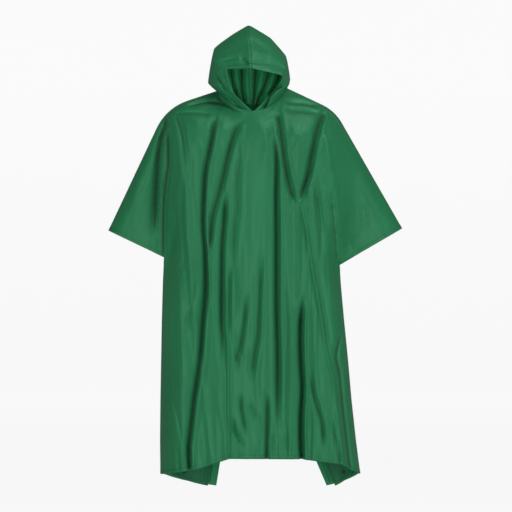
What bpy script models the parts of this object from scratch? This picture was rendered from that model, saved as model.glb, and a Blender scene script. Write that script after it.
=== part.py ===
"""Hooded rain poncho, filled out as worn with no wearer inside it.

One rectangle of coated film is folded over the shoulders. Its front and back halves are worked out in the
cloth's own directions: "across" runs from the wearer's right cuff (-X) to the left one (+X), and "down" is
the distance down the cloth from the shoulder fold. Below the cuffs each half goes on past the side of the
body as a wing, which is folded round behind the back and closed to the other half's wing with press studs.
Metres, +Z up, the front faces -Y. The origin is on the shoulder line at the middle of the neck.
"""
import math
from collections import namedtuple

import bmesh
import bpy
import numpy as np

# ---------------------------------------------------------------- driving sizes
HALF_WIDTH = 0.635          # shoulder fold from the centre to a cuff's top corner
HALF_LENGTH = 1.015         # shoulder fold to hem, down the cloth
WALL = 0.0015
HEM_WALL = 0.0030           # the hem is turned over once
HEM_DEPTH = 0.011
SHOULDER_HALF_GAP = 0.00045 # from the joint to a wall's middle, which leaves 0.3 mm between the walls
HOOD_HALF_GAP = 0.0009      # more at the hood's seam, where its halves meet at an angle
NECK_GAP = 0.0022           # between the hood's lower edge and the neck hole
CUFF = 0.189                # down the cloth from the shoulder fold to where the cuff passes the body

NECK_X = -0.008             # the neck hole sits a little off the centre
NECK_RADIUS_X = 0.092
NECK_FRONT_Y = -0.105
NECK_BACK_Y = 0.062
THROAT_Z = -0.056
NAPE_Z = -0.030

ARM_DEPTH = 0.055           # half the thickness of a sleeve over the arm
ARM_ROUND = 0.060           # the cloth turns over the arm within this much of the fold
CHEST_ROUND = 0.150         # and over the shoulder within this much
ARM_INNER_X = 0.190         # the body's depth runs out into the sleeve's between these
ARM_OUTER_X = 0.290
UNDERARM_Z = -0.620         # below this the sleeves' thinness is gone
UNDERARM_FADE = 0.200
NECK_FADE = 0.080           # the cloth falls away more gently within this much of the neck hole
SIDE_ROUND_FRONT = 0.085    # the cloth turns towards the side within this much of the outline
SIDE_ROUND_BACK = 0.030
SIDE_START = 0.100          # down the cloth to where the body's sides begin to turn, and how soon they do
SIDE_RUN_IN = 0.200
FRONT_SIDE_Y = -0.020       # where the front half passes the side of the body
BACK_SIDE_Y = 0.134         # where the back half folds back on itself
SIDE_CALM = 0.8             # the share of a fold that is gone at the side

SNAP_RADIUS = 0.0058
SNAP_CAP = 0.0014
SNAP_CLEAR = 0.0006
# a pair of press studs' place on a wing, in rows of the cloth's mesh up from the hem and columns in from
# the free edge
Snap = namedtuple("Snap", "name rows_up columns_in")
SNAPS = (Snap("low", 4, 2), Snap("high", 8, 1))

# each side's shoulder: the neck hole's side, the shoulder's corner and how far it is rounded, the cuff's
# top corner, and the height at which the cuff passes the body
Side = namedtuple("Side", "name sign neck_z corner_x corner_z fillet tip_x tip_z cuff_z")
SIDES = (
    Side("right", -1, 0.006, -0.2513, -0.0445, 0.065, -0.413, -0.388, -0.463),
    Side("left", 1, 0.012, 0.2206, -0.0527, 0.040, 0.409, -0.382, -0.484),
)

# the side of the body below the cuff: height, front half's outline, back half's fold
Outline = namedtuple("Outline", "z right_front left_front right_back left_back")
OUTLINES = (
    Outline(-0.463, -0.256, 0.231, -0.222, 0.198),
    Outline(-0.530, -0.260, 0.236, -0.226, 0.205),
    Outline(-0.640, -0.263, 0.246, -0.236, 0.220),
    Outline(-0.750, -0.265, 0.257, -0.242, 0.234),
    Outline(-0.864, -0.267, 0.267, -0.244, 0.245),
    Outline(-0.974, -0.268, 0.279, -0.245, 0.260),
    Outline(-1.067, -0.267, 0.291, -0.245, 0.272),
)
HEM_CORNER_Z = -1.067

# hem heights from the right side fold to the left one
Hem = namedtuple("Hem", "x front_z back_z")
HEMS = (
    Hem(-0.267, -1.067, -1.058),
    Hem(-0.157, -1.047, -1.030),
    Hem(-0.075, -1.020, -1.012),
    Hem(0.126, -1.021, -1.012),
    Hem(0.240, -1.036, -1.030),
    Hem(0.291, -1.067, -1.060),
)

# how far the cloth stands out in front of and behind the shoulder line
Depth = namedtuple("Depth", "z front back")
DEPTHS = (
    Depth(0.020, 0.100, 0.080),
    Depth(-0.100, 0.120, 0.112),
    Depth(-0.300, 0.132, 0.122),
    Depth(-0.600, 0.140, 0.128),
    Depth(-0.850, 0.152, 0.134),
    Depth(-1.060, 0.166, 0.140),
)

# the wings behind the back: share of the way from cuff to hem, how much of each half's wing there is by
# then, its free edge's X, and how far the edge hangs below the fold beside the body
Wing = namedtuple("Wing", "share front_reach back_reach right_x left_x drop")
WINGS = (
    Wing(0.00, 0.00, 0.00, -0.110, 0.110, 0.000),
    Wing(0.08, 0.32, 0.00, -0.110, 0.110, 0.000),
    Wing(0.17, 0.56, 0.00, -0.108, 0.110, 0.000),
    Wing(0.28, 0.82, 0.50, -0.106, 0.109, 0.000),
    Wing(0.42, 1.00, 1.00, -0.100, 0.108, 0.002),
    Wing(0.70, 1.00, 1.00, -0.078, 0.112, 0.012),
    Wing(1.00, 1.00, 1.00, -0.113, 0.201, 0.057),
)
WING_STEP_X = 0.024         # the back half's wing stops this far short of the front half's
WING_DROP_SHARE = 0.6       # how much of its drop a wing has by the time it has turned behind the back
# the curve round behind the back: the free edge's Y, the bow out at the side, the shares of the way back
# and inward at its two middle points, and the bow out behind
WingTurn = namedtuple("WingTurn", "edge_y bow_x back inward bow_y")
FRONT_WING = WingTurn(0.191, 0.006, 0.95, 0.04, 0.012)
BACK_WING = WingTurn(0.179, 0.005, 0.78, 0.10, 0.000)

# folds that hang from the shoulders: a trough through three points, its half width and depth
Fold = namedtuple("Fold", "top_x top_z mid_x mid_z end_x end_z width depth")
FRONT_FOLDS = (
    Fold(-0.257, -0.090, -0.268, -0.270, -0.281, -0.400, 0.012, 0.034),
    Fold(-0.240, -0.100, -0.252, -0.230, -0.254, -0.440, 0.012, 0.030),
    Fold(-0.110, -0.090, -0.146, -0.370, -0.185, -1.060, 0.021, 0.024),
    Fold(-0.036, -0.080, -0.092, -0.260, -0.132, -0.460, 0.020, 0.013),
    Fold(-0.084, -0.290, -0.096, -0.600, -0.090, -0.760, 0.015, 0.018),
    Fold(-0.042, -0.160, -0.054, -0.340, -0.068, -0.480, 0.015, 0.010),
    Fold(0.045, -0.130, 0.056, -0.400, 0.059, -1.060, 0.013, 0.024),
    Fold(0.062, -0.060, 0.082, -0.200, 0.118, -0.330, 0.017, 0.013),
    Fold(0.188, -0.056, 0.156, -0.180, 0.122, -0.306, 0.016, 0.022),
    Fold(0.210, -0.230, 0.222, -0.380, 0.226, -0.470, 0.012, 0.022),
    Fold(0.130, -0.540, 0.124, -0.760, 0.127, -1.060, 0.012, 0.034),
    Fold(0.232, -0.740, 0.240, -0.880, 0.252, -1.060, 0.014, 0.016),
    Fold(0.010, -0.530, -0.006, -0.720, -0.006, -0.800, 0.014, 0.010),
    Fold(0.031, -0.820, 0.030, -0.930, 0.028, -1.060, 0.013, 0.012),
)
BACK_FOLDS = (
    Fold(-0.245, -0.090, -0.250, -0.260, -0.246, -0.430, 0.013, 0.028),
    Fold(-0.150, -0.050, -0.165, -0.400, -0.170, -1.050, 0.018, 0.024),
    Fold(-0.070, 0.000, -0.085, -0.420, -0.095, -1.050, 0.018, 0.018),
    Fold(-0.010, -0.020, -0.018, -0.300, -0.020, -0.640, 0.014, 0.012),
    Fold(0.030, -0.300, 0.034, -0.640, 0.036, -1.050, 0.014, 0.022),
    Fold(0.075, 0.000, 0.092, -0.360, 0.100, -0.860, 0.018, 0.018),
    Fold(0.140, -0.050, 0.160, -0.420, 0.176, -1.050, 0.018, 0.024),
    Fold(0.225, -0.090, 0.232, -0.260, 0.226, -0.440, 0.013, 0.026),
)
FOLD_RUN_IN = 0.09          # a fold deepens over this length from its start
# the mesh's columns follow these long folds
GUIDE_FRONT = (FRONT_FOLDS[6], Fold(0.160, -0.056, 0.128, -0.400, 0.127, -1.060, 0.0, 0.0))
GUIDE_BACK = (BACK_FOLDS[4],)

# hood sections from the brim to the back seam. "turn" is the angle round the neck hole from the throat;
# seam is the centre seam's point, low and high are the side's widest point and its upper corner
Hood = namedtuple("Hood", "turn seam_x seam_y seam_z side_y "
                  "right_low_x right_low_z right_high_x right_high_z "
                  "left_low_x left_low_z left_high_x left_high_z")
HOOD = (
    Hood(4, -0.012, -0.150, 0.060, -0.124, -0.070, -0.004, -0.080, 0.062, 0.050, -0.006, 0.074, 0.040),
    Hood(42, -0.016, -0.092, 0.126, -0.086, -0.116, 0.014, -0.116, 0.084, 0.086, 0.014, 0.082, 0.074),
    Hood(84, -0.020, -0.008, 0.187, -0.010, -0.134, 0.026, -0.116, 0.122, 0.094, 0.028, 0.080, 0.100),
    Hood(130, -0.019, 0.066, 0.158, 0.050, -0.112, 0.040, -0.100, 0.108, 0.084, 0.040, 0.076, 0.098),
    Hood(177, -0.016, 0.092, 0.112, 0.070, -0.016, 0.020, -0.016, 0.068, -0.016, 0.020, -0.016, 0.068),
)
CORNER_NAMES = ("low_x", "low_z", "high_x", "high_z")
BROW_SHARE = 0.52           # a section's point between its upper corner and the seam
BROW_FORWARD = 0.10
BROW_RISE = 0.004
HOOD_UP_KNOTS = (0.0, 0.26, 0.58, 0.80, 1.0)
HOOD_PLEATS = 5             # gathers down the inside of the hood's back
HOOD_PLEAT_DEPTH = 0.006
HOOD_PLEATS_FROM = 0.45     # round the hood from the brim
HOOD_PLEATS_TOP = 0.75      # up the hood from the neck seam

# ---------------------------------------------------------------- mesh steps
FRONT_STEPS = 42
BACK_STEPS = 28
SIDE_SHARE = 0.13           # the share of the width over which a side turns
SLEEVE_STEPS = 2
BODY_SHARES = (0.07, 0.14, 0.21, 0.29, 0.40, 0.55, 0.70, 0.85, 0.970, 1.00)
BACK_WING_START = 0.18      # the back half's cuff runs in behind the body before its wing opens
HALVINGS = 18
ROUND_STEPS = 4
WING_STEPS = 8
HOOD_AROUND_STEPS = 14
HOOD_UP_STEPS = 11
SNAP_SIDES = 16

FILM = (0.025, 0.144, 0.064)
STUD = (0.012, 0.050, 0.026)


def ease(t):
    """0 to 1 with level ends."""
    t = min(max(t, 0.0), 1.0)
    return t * t * (3.0 - 2.0 * t)


def quarter(t):
    """A quarter circle's rise from 0 to 1."""
    t = min(max(t, 0.0), 1.0)
    return math.sqrt(1.0 - (1.0 - t) ** 2)


def spline(knots, rows, t):
    """The point at t on the smooth curve through the rows, which stand at the knots."""
    rows = [np.asarray(row, dtype=float) for row in rows]
    last = len(knots) - 1
    t = min(max(t, knots[0]), knots[last])
    i = max(k for k in range(last) if knots[k] <= t)

    def slope(k):
        before, after = max(k - 1, 0), min(k + 1, last)
        return (rows[after] - rows[before]) / (knots[after] - knots[before])

    span = knots[i + 1] - knots[i]
    u = (t - knots[i]) / span
    start = rows[i] * (1 + 2 * u) * (1 - u) ** 2 + slope(i) * span * u * (1 - u) ** 2
    end = rows[i + 1] * u * u * (3 - 2 * u) + slope(i + 1) * span * u * u * (u - 1)
    return start + end


def column(table, name):
    return [getattr(row, name) for row in table]


def by_height(table, name, z):
    """A table's column read at height z, where the table runs from high to low."""
    return float(np.interp(-z, [-h for h in column(table, "z")], column(table, name)))


def between(a, b, t):
    return np.asarray(a, dtype=float) * (1.0 - t) + np.asarray(b, dtype=float) * t


# ---------------------------------------------------------------- the sheet's edges
def neck_point(angle):
    """A point of the neck hole's edge; 0 is the throat, 90 a side and 180 the nape, right side positive."""
    turn = math.radians(angle)
    x = NECK_X - NECK_RADIUS_X * math.sin(turn)
    front = math.cos(turn)
    side_z = SIDES[0].neck_z if angle > 0 else SIDES[1].neck_z
    if front > 0:
        return np.array((x, NECK_FRONT_Y * front, side_z + (THROAT_Z - side_z) * front ** 1.4))
    return np.array((x, -NECK_BACK_Y * front, side_z - (NAPE_Z - side_z) * front))


def shoulder_fold(side):
    """Points along the fold from the side of the neck to the cuff's top corner."""
    neck_x = NECK_X + side.sign * NECK_RADIUS_X
    corner = np.array((side.corner_x, 0.0, side.corner_z))
    neck = np.array((neck_x, 0.0, side.neck_z))
    tip = np.array((side.tip_x, 0.0, side.tip_z))
    start = corner + (neck - corner) / np.linalg.norm(neck - corner) * side.fillet
    stop = corner + (tip - corner) / np.linalg.norm(tip - corner) * side.fillet
    bend = [between(between(start, corner, t), between(corner, stop, t), t) for t in np.linspace(0, 1, 9)]
    return [neck] + bend + [tip]


def along(points, share):
    """The point at a share of a polyline's length."""
    steps = [np.linalg.norm(b - a) for a, b in zip(points, points[1:])]
    at = np.concatenate(([0.0], np.cumsum(steps)))
    reach = share * at[-1]
    return np.array([np.interp(reach, at, [p[k] for p in points]) for k in range(3)])


NECK_SHARE = NECK_RADIUS_X / (2 * HALF_WIDTH)


def top_edge(across, face):
    """The upper edge of one half of the sheet. face is -1 for the front half, 1 for the back half."""
    gap = np.array((0.0, face * SHOULDER_HALF_GAP, 0.0))
    if across < 0.5 - NECK_SHARE:
        return along(shoulder_fold(SIDES[0]), 1.0 - across / (0.5 - NECK_SHARE)) + gap
    if across > 0.5 + NECK_SHARE:
        return along(shoulder_fold(SIDES[1]), 1.0 - (1.0 - across) / (0.5 - NECK_SHARE)) + gap
    angle = 90.0 * (0.5 - across) / NECK_SHARE
    if face > 0:
        angle = math.copysign(180.0, angle) - angle
    return neck_point(angle) + gap


def side_edge(side, down, face):
    """The side of one half in X and Z: the cuff, and below it the fold beside the body."""
    edge_name = f"{side.name}_front" if face < 0 else f"{side.name}_back"
    end_x = by_height(OUTLINES, edge_name, side.cuff_z)
    if down < CUFF:
        return between((side.tip_x, side.tip_z), (end_x, side.cuff_z), down / CUFF)
    z = float(between(side.cuff_z, HEM_CORNER_Z, (down - CUFF) / (HALF_LENGTH - CUFF)))
    return np.array((by_height(OUTLINES, edge_name, z), z))


def hem_edge(across, face):
    ends = [side_edge(side, HALF_LENGTH, face)[0] for side in SIDES]
    x = float(between(ends[0], ends[1], across))
    return np.array((x, np.interp(x, column(HEMS, "x"), column(HEMS, "front_z" if face < 0 else "back_z"))))


# ---------------------------------------------------------------- the sheet
def flat_place(across, down, face):
    """X and Z of a point of one half, from its four edges."""
    t = down / HALF_LENGTH
    top = top_edge(across, face)[[0, 2]]
    hem = hem_edge(across, face)
    left, right = (side_edge(side, down, face) for side in SIDES)
    upper = between(top_edge(0.0, face)[[0, 2]], top_edge(1.0, face)[[0, 2]], across)
    lower = between(hem_edge(0.0, face), hem_edge(1.0, face), across)
    return between(top, hem, t) + between(left, right, across) - between(upper, lower, t)


def fold_x(fold, z):
    """Where a fold's trough runs at height z."""
    return spline((-fold.top_z, -fold.mid_z, -fold.end_z), ([fold.top_x], [fold.mid_x], [fold.end_x]), -z)[0]


def fold_depth(folds, x, z):
    """How far the folds draw the cloth in at X and Z."""
    total = 0.0
    for fold in folds:
        if z > fold.top_z or z < fold.end_z - FOLD_RUN_IN:
            continue
        centre = fold_x(fold, z)
        run = ease((fold.top_z - z) / FOLD_RUN_IN)
        if fold.end_z > HEM_CORNER_Z + FOLD_RUN_IN:
            run *= ease((z - fold.end_z + FOLD_RUN_IN) / FOLD_RUN_IN)
        total += (fold.depth * run * math.exp(-((x - centre) / fold.width) ** 2)) ** 2
    return math.sqrt(total)


def sheet_point(across, down, face):
    """A point of the middle of the cloth on one half, not counting the wings."""
    x, z = flat_place(across, down, face)
    side = SIDES[0] if across < 0.5 else SIDES[1]
    outward = ease((abs(x) - ARM_INNER_X) / (ARM_OUTER_X - ARM_INNER_X))
    outward *= ease((z - UNDERARM_Z) / UNDERARM_FADE)
    body = by_height(DEPTHS, "front" if face < 0 else "back", z)
    full = float(between(body, ARM_DEPTH, outward))
    fall = min(down / float(between(CHEST_ROUND, ARM_ROUND, outward)), 1.0)
    from_neck = ease((abs(x - NECK_X) - NECK_RADIUS_X) / NECK_FADE)
    over = float(between(1.0 - (1.0 - fall) ** 2, quarter(fall), from_neck))
    start = top_edge(across, face)[1] * face
    depth = start + (full - start) * over
    edge_x = side_edge(side, down, face)[0]
    side_y = (FRONT_SIDE_Y if face < 0 else BACK_SIDE_Y) * face
    side_round = SIDE_ROUND_FRONT if face < 0 else SIDE_ROUND_BACK
    beside = ease((down - SIDE_START) / SIDE_RUN_IN) * (1.0 - quarter(abs(x - edge_x) / side_round))
    folds = fold_depth(FRONT_FOLDS if face < 0 else BACK_FOLDS, x, z)
    depth -= folds * over * (1.0 - SIDE_CALM * beside)
    depth += (side_y - depth) * beside
    return np.array((x, depth * face, z))


def wing_point(side, reach, down, face):
    """A point of a wing: reach 0 is the fold beside the body, 1 the free edge."""
    share = (down - CUFF) / (HALF_LENGTH - CUFF)
    turn = BACK_WING if face > 0 else FRONT_WING
    shares = column(WINGS, "share")
    root = sheet_point(0.0 if side.sign < 0 else 1.0, down, face)
    step_x = side.sign * WING_STEP_X if face > 0 else 0.0
    edge_x = np.interp(share, shares, column(WINGS, f"{side.name}_x")) + step_x
    edge_z = root[2] - np.interp(share, shares, column(WINGS, "drop"))
    reached = np.interp(share, shares, column(WINGS, "back_reach" if face > 0 else "front_reach"))
    t = reach * float(reached)
    first = np.array((root[0] + side.sign * turn.bow_x, between(root[1], turn.edge_y, turn.back), root[2]))
    second_x = float(between(root[0], edge_x, turn.inward))
    second_z = float(between(root[2], edge_z, WING_DROP_SHARE))
    second = np.array((second_x, turn.edge_y + turn.bow_y, second_z))
    edge = np.array((edge_x, turn.edge_y, edge_z))
    return root * (1 - t) ** 3 + 3 * first * t * (1 - t) ** 2 + 3 * second * t * t * (1 - t) + edge * t ** 3


# ---------------------------------------------------------------- steps across and down
def across_steps(face):
    """Close together at the sides, where the cloth turns, and even over the body."""
    near = [SIDE_SHARE * (1.0 - math.cos(math.pi / 2 * k / ROUND_STEPS)) for k in range(ROUND_STEPS)]
    count = FRONT_STEPS if face < 0 else BACK_STEPS
    middle = list(np.linspace(SIDE_SHARE, 1.0 - SIDE_SHARE, count + 1))
    return near + middle + [1.0 - t for t in reversed(near)]


def share_on_fold(fold, down, face):
    """The share across at which a row meets a fold's trough, found by halving."""
    low, high = SIDE_SHARE, 1.0 - SIDE_SHARE
    for _ in range(HALVINGS):
        middle = (low + high) / 2
        x, z = flat_place(middle, down, face)
        low, high = (middle, high) if x < fold_x(fold, z) else (low, middle)
    return low


def row_shares(down, face):
    """A row's shares across, shifted so that the long folds each keep one column in their trough."""
    steps = across_steps(face)
    inner = steps[ROUND_STEPS + 1:-ROUND_STEPS - 1]
    guides = GUIDE_FRONT if face < 0 else GUIDE_BACK
    at_hem = [share_on_fold(fold, HALF_LENGTH, face) for fold in guides]
    kept = [min(inner, key=lambda step: abs(step - share)) for share in at_hem]
    here = [share_on_fold(fold, down, face) for fold in guides]
    return np.interp(steps, [0.0, SIDE_SHARE, *kept, 1.0 - SIDE_SHARE, 1.0],
                     [0.0, SIDE_SHARE, *here, 1.0 - SIDE_SHARE, 1.0])


def down_steps():
    near = [ARM_ROUND * (1.0 - math.cos(math.pi / 2 * k / ROUND_STEPS)) for k in range(ROUND_STEPS)]
    sleeve = list(np.linspace(ARM_ROUND, CUFF, SLEEVE_STEPS + 1))
    body = [CUFF + share * (HALF_LENGTH - 2 * HEM_DEPTH - CUFF) for share in BODY_SHARES]
    return near + sleeve + body + [HALF_LENGTH - HEM_DEPTH, HALF_LENGTH]


# ---------------------------------------------------------------- solids
def material(name, colour, roughness):
    made = bpy.data.materials.new(name)
    made.use_nodes = True
    shader = made.node_tree.nodes["Principled BSDF"]
    shader.inputs["Base Color"].default_value = (*colour, 1.0)
    shader.inputs["Roughness"].default_value = roughness
    shader.inputs["Metallic"].default_value = 0.0
    return made


def add_object(name, bm, collection, finish):
    mesh = bpy.data.meshes.new(name)
    bmesh.ops.triangulate(bm, faces=bm.faces)
    bmesh.ops.recalc_face_normals(bm, faces=bm.faces)
    bm.to_mesh(mesh)
    bm.free()
    made = bpy.data.objects.new(name, mesh)
    mesh.materials.append(finish)
    collection.objects.link(made)
    return made


def thicken(cloth, hem_verts):
    """Give an open surface its wall, which is doubled along the hem."""
    group = cloth.vertex_groups.new(name="wall")
    plain = [v.index for v in cloth.data.vertices if v.index not in hem_verts]
    group.add(plain, WALL / HEM_WALL, "REPLACE")
    group.add(sorted(hem_verts), 1.0, "REPLACE")
    wall = cloth.modifiers.new("wall", "SOLIDIFY")
    wall.thickness = HEM_WALL
    wall.offset = 0.0
    wall.vertex_group = group.name
    cloth.data.shade_smooth()


def stitch(bm, above, below):
    """Faces between two rows, which may share points."""
    for a, b, c, d in zip(above, above[1:], below[1:], below):
        corners = []
        for vert in (a, b, c, d):
            if vert not in corners:
                corners.append(vert)
        if len(corners) > 2:
            bm.faces.new(corners)


def half_sheet(name, face, collection, finish):
    """One half of the body sheet with its two wings. Returns the object and its rows of points."""
    bm = bmesh.new()
    rows = []
    for down in down_steps():
        right_wing, left_wing = [], []
        for side, wing in ((SIDES[0], right_wing), (SIDES[1], left_wing)):
            reaches = [k / WING_STEPS for k in range(1, WING_STEPS + 1)]
            start = BACK_WING_START if face > 0 else 0.0
            if down > CUFF + start * (HALF_LENGTH - CUFF) + SHOULDER_HALF_GAP:
                wing.extend(bm.verts.new(wing_point(side, reach, down, face)) for reach in reaches)
            else:
                wing.extend([None] * len(reaches))
        body = [bm.verts.new(sheet_point(across, down, face)) for across in row_shares(down, face)]
        right_wing = [vert or body[0] for vert in right_wing]
        left_wing = [vert or body[-1] for vert in left_wing]
        rows.append(right_wing[::-1] + body + left_wing)
    for above, below in zip(rows, rows[1:]):
        stitch(bm, above, below)
    bm.verts.index_update()
    hem = {vert.index for row in rows[-2:] for vert in row}
    points = [[vert.co.copy() for vert in row] for row in rows]
    cloth = add_object(name, bm, collection, finish)
    thicken(cloth, hem)
    return points


def hood_point(side, around, up):
    """A point of one half of the hood: around 0 is the brim and 1 the back seam, up 0 the neck seam."""
    turns = column(HOOD, "turn")
    turn = float(between(turns[0], turns[-1], around))
    rows = []
    for row in HOOD:
        gap = side.sign * HOOD_HALF_GAP
        seam = np.array((row.seam_x + gap, row.seam_y, row.seam_z))
        low_x, low_z, high_x, high_z = (getattr(row, f"{side.name}_{name}") for name in CORNER_NAMES)
        low = np.array((low_x + gap, row.side_y, low_z))
        high = np.array((high_x + gap, row.side_y, high_z))
        forward = BROW_FORWARD * (seam[1] - high[1])
        brow = between(high, seam, BROW_SHARE) + np.array((0.0, forward, BROW_RISE))
        rows.append(np.concatenate((low, high, brow, seam)))
    section = spline(turns, rows, turn)
    low, high, brow, seam = (section[k:k + 3] for k in (0, 3, 6, 9))
    neck = neck_point(-side.sign * turn) + np.array((0.0, 0.0, NECK_GAP))
    if around == 1.0:
        neck[0] = seam[0]
    point = spline(HOOD_UP_KNOTS, (neck, low, high, brow, seam), up)
    gather = ease((around - HOOD_PLEATS_FROM) / 0.25) * ease((1.0 - around) / 0.06)
    gather *= ease(up / 0.12) * ease((HOOD_PLEATS_TOP - up) / 0.40)
    ripple = math.cos(2 * math.pi * HOOD_PLEATS * around)
    outward = np.array((point[0] - NECK_X, point[1], 0.0))
    return point + outward / np.linalg.norm(outward) * HOOD_PLEAT_DEPTH * ripple * gather


def hood_half(side, collection, finish):
    bm = bmesh.new()
    rows = []
    for k in range(HOOD_UP_STEPS + 1):
        ups = k / HOOD_UP_STEPS
        rows.append([bm.verts.new(hood_point(side, j / HOOD_AROUND_STEPS, ups))
                     for j in range(HOOD_AROUND_STEPS + 1)])
    for above, below in zip(rows, rows[1:]):
        stitch(bm, above, below)
    bm.verts.index_update()
    brim = {vert.index for row in rows for vert in row[:1]}
    thicken(add_object(f"hood_{side.name}", bm, collection, finish), brim)


def press_stud(name, centre, normal, offset, height, collection, finish):
    """A round cap or coupling that stands on the cloth, its axis along the cloth's normal."""
    bm = bmesh.new()
    bmesh.ops.create_cone(bm, cap_ends=True, segments=SNAP_SIDES, radius1=SNAP_RADIUS,
                          radius2=SNAP_RADIUS * 0.86, depth=height)
    made = add_object(name, bm, collection, finish)
    made.rotation_mode = "QUATERNION"
    made.rotation_quaternion = normal.to_track_quat("Z", "Y")
    made.location = centre + normal * (offset + height / 2)


def wing_cell(points, row, column_in, side):
    """The middle of a cell of the sheet's grid, counted in from a wing's free edge, and its normal."""
    first = column_in if side.sign < 0 else len(points[row]) - 2 - column_in
    a, b = points[row][first], points[row][first + 1]
    d, c = points[row + 1][first], points[row + 1][first + 1]
    normal = (c - a).cross(d - b).normalized()
    return (a + b + c + d) / 4, normal if normal.y > 0 else -normal


def snaps(front_points, back_points, collection, finish):
    """Two fastened press studs down each pair of wings."""
    face = WALL / 2 + SNAP_CLEAR
    for side in SIDES:
        for snap in SNAPS:
            row = len(front_points) - snap.rows_up
            inner, inner_normal = wing_cell(back_points, row, snap.columns_in, side)
            outer, outer_normal = wing_cell(front_points, row, snap.columns_in, side)
            label = f"snap_{side.name}_{snap.name}"
            press_stud(f"{label}_stud_cap", inner, -inner_normal, face, SNAP_CAP, collection, finish)
            press_stud(f"{label}_socket_cap", outer, outer_normal, face, SNAP_CAP, collection, finish)


def main():
    for old in list(bpy.data.objects):
        bpy.data.objects.remove(old, do_unlink=True)
    collection = bpy.data.collections.new("rain_poncho")
    bpy.context.scene.collection.children.link(collection)
    film = material("green_film", FILM, 0.38)
    stud = material("press_stud", STUD, 0.35)
    front_points = half_sheet("front_panel", -1, collection, film)
    back_points = half_sheet("back_panel", 1, collection, film)
    for side in SIDES:
        hood_half(side, collection, film)
    snaps(front_points, back_points, collection, stud)


main()
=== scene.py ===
"""A hooded rain poncho of thin coated film, filled out as worn with no wearer inside it.

The body is one rectangle of film folded over the shoulders, and the hood is two halves joined down the
middle. "across" is the share of the cloth's width from the wearer's right cuff (-X) to the left one (+X), and
"down" is the distance down the cloth from the shoulder fold. Metres, +Z up, the front faces -Y, and the
origin is on the shoulder line.
"""
import math
from collections import namedtuple

import bmesh
import bpy
import numpy as np
from bpy.props import FloatProperty, FloatVectorProperty, IntProperty, PointerProperty
from bpy.types import Operator, Panel, PropertyGroup
from mathutils import Matrix, Vector
from mathutils.bvhtree import BVHTree


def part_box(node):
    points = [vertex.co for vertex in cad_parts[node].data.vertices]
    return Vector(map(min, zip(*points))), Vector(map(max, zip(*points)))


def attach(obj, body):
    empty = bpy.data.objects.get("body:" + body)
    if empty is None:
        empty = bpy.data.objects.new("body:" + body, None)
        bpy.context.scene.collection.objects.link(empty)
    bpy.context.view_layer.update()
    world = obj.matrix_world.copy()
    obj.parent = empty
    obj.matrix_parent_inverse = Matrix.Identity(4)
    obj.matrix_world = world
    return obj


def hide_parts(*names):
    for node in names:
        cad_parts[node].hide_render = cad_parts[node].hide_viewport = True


bl_info = {
    "name": "Rain Poncho",
    "version": (1, 0, 0),
    "blender": (4, 5, 0),
    "location": "View3D > Sidebar > Poncho",
    "description": "Builds a hooded rain poncho of thin coated film, filled out as worn",
    "category": "Add Mesh",
}

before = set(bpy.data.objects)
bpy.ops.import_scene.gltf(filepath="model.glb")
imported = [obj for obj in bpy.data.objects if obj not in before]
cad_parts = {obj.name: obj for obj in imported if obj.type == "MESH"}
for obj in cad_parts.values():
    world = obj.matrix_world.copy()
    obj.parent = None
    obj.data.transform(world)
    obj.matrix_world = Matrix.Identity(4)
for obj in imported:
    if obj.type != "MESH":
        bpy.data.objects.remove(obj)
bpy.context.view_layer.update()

# ---------------- the cut and the form it fills
HALF_WIDTH = 0.635          # shoulder fold from the centre to a cuff's top corner
HALF_LENGTH = 1.015         # shoulder fold to hem
CUFF = 0.189                # down the cloth from the shoulder fold to where the cuff passes the body
HEM_DEPTH = 0.011

NECK_X = -0.008
NECK_RADIUS_X = 0.092
NECK_FRONT_Y = -0.105
NECK_BACK_Y = 0.062
THROAT_Z = -0.056
NAPE_Z = -0.030
NECK_TUCK = 0.0025          # the hood's lower edge lies this far down inside the neck hole
NECK_SHARE = NECK_RADIUS_X / (2 * HALF_WIDTH)

ARM_DEPTH = 0.055
ARM_ROUND = 0.060           # the cloth over an arm that rounds off to its full depth
CHEST_ROUND = 0.150
ARM_INNER_X = 0.190         # the body's depth passes into an arm's from here out to ARM_OUTER_X
ARM_OUTER_X = 0.290
UNDERARM_Z = -0.620
UNDERARM_FADE = 0.200
NECK_FADE = 0.080
SIDE_START = 0.100          # down the cloth to where its sides begin to turn in
SIDE_RUN_IN = 0.200
SIDE_CALM = 0.8             # how much flatter the film is where it turns in at its sides
SLEEVE_CALM = 0.22          # how much of the slow hollows is left on the sleeves
CALM_RUN_IN = 0.14
KINK_WINDOW = 0.075         # the share of the width over which the kink beside the neck hole is eased off
KINK_RUN_IN = 0.030
KINK_ROUNDS = 90

Side = namedtuple("Side", "name sign neck_z corner_x corner_z fillet tip_x tip_z cuff_z")
SIDES = (
    Side("right", -1, 0.006, -0.2513, -0.0445, 0.065, -0.413, -0.388, -0.463),
    Side("left", 1, 0.012, 0.2206, -0.0527, 0.040, 0.409, -0.382, -0.484),
)

Outline = namedtuple("Outline", "z right_front left_front right_back left_back")
OUTLINES = (
    Outline(-0.463, -0.256, 0.231, -0.222, 0.198),
    Outline(-0.530, -0.260, 0.236, -0.226, 0.205),
    Outline(-0.640, -0.263, 0.246, -0.236, 0.220),
    Outline(-0.750, -0.265, 0.257, -0.242, 0.234),
    Outline(-0.864, -0.267, 0.267, -0.244, 0.245),
    Outline(-0.974, -0.268, 0.279, -0.245, 0.260),
    Outline(-1.067, -0.267, 0.291, -0.245, 0.272),
)
HEM_CORNER_Z = -1.067

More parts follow.
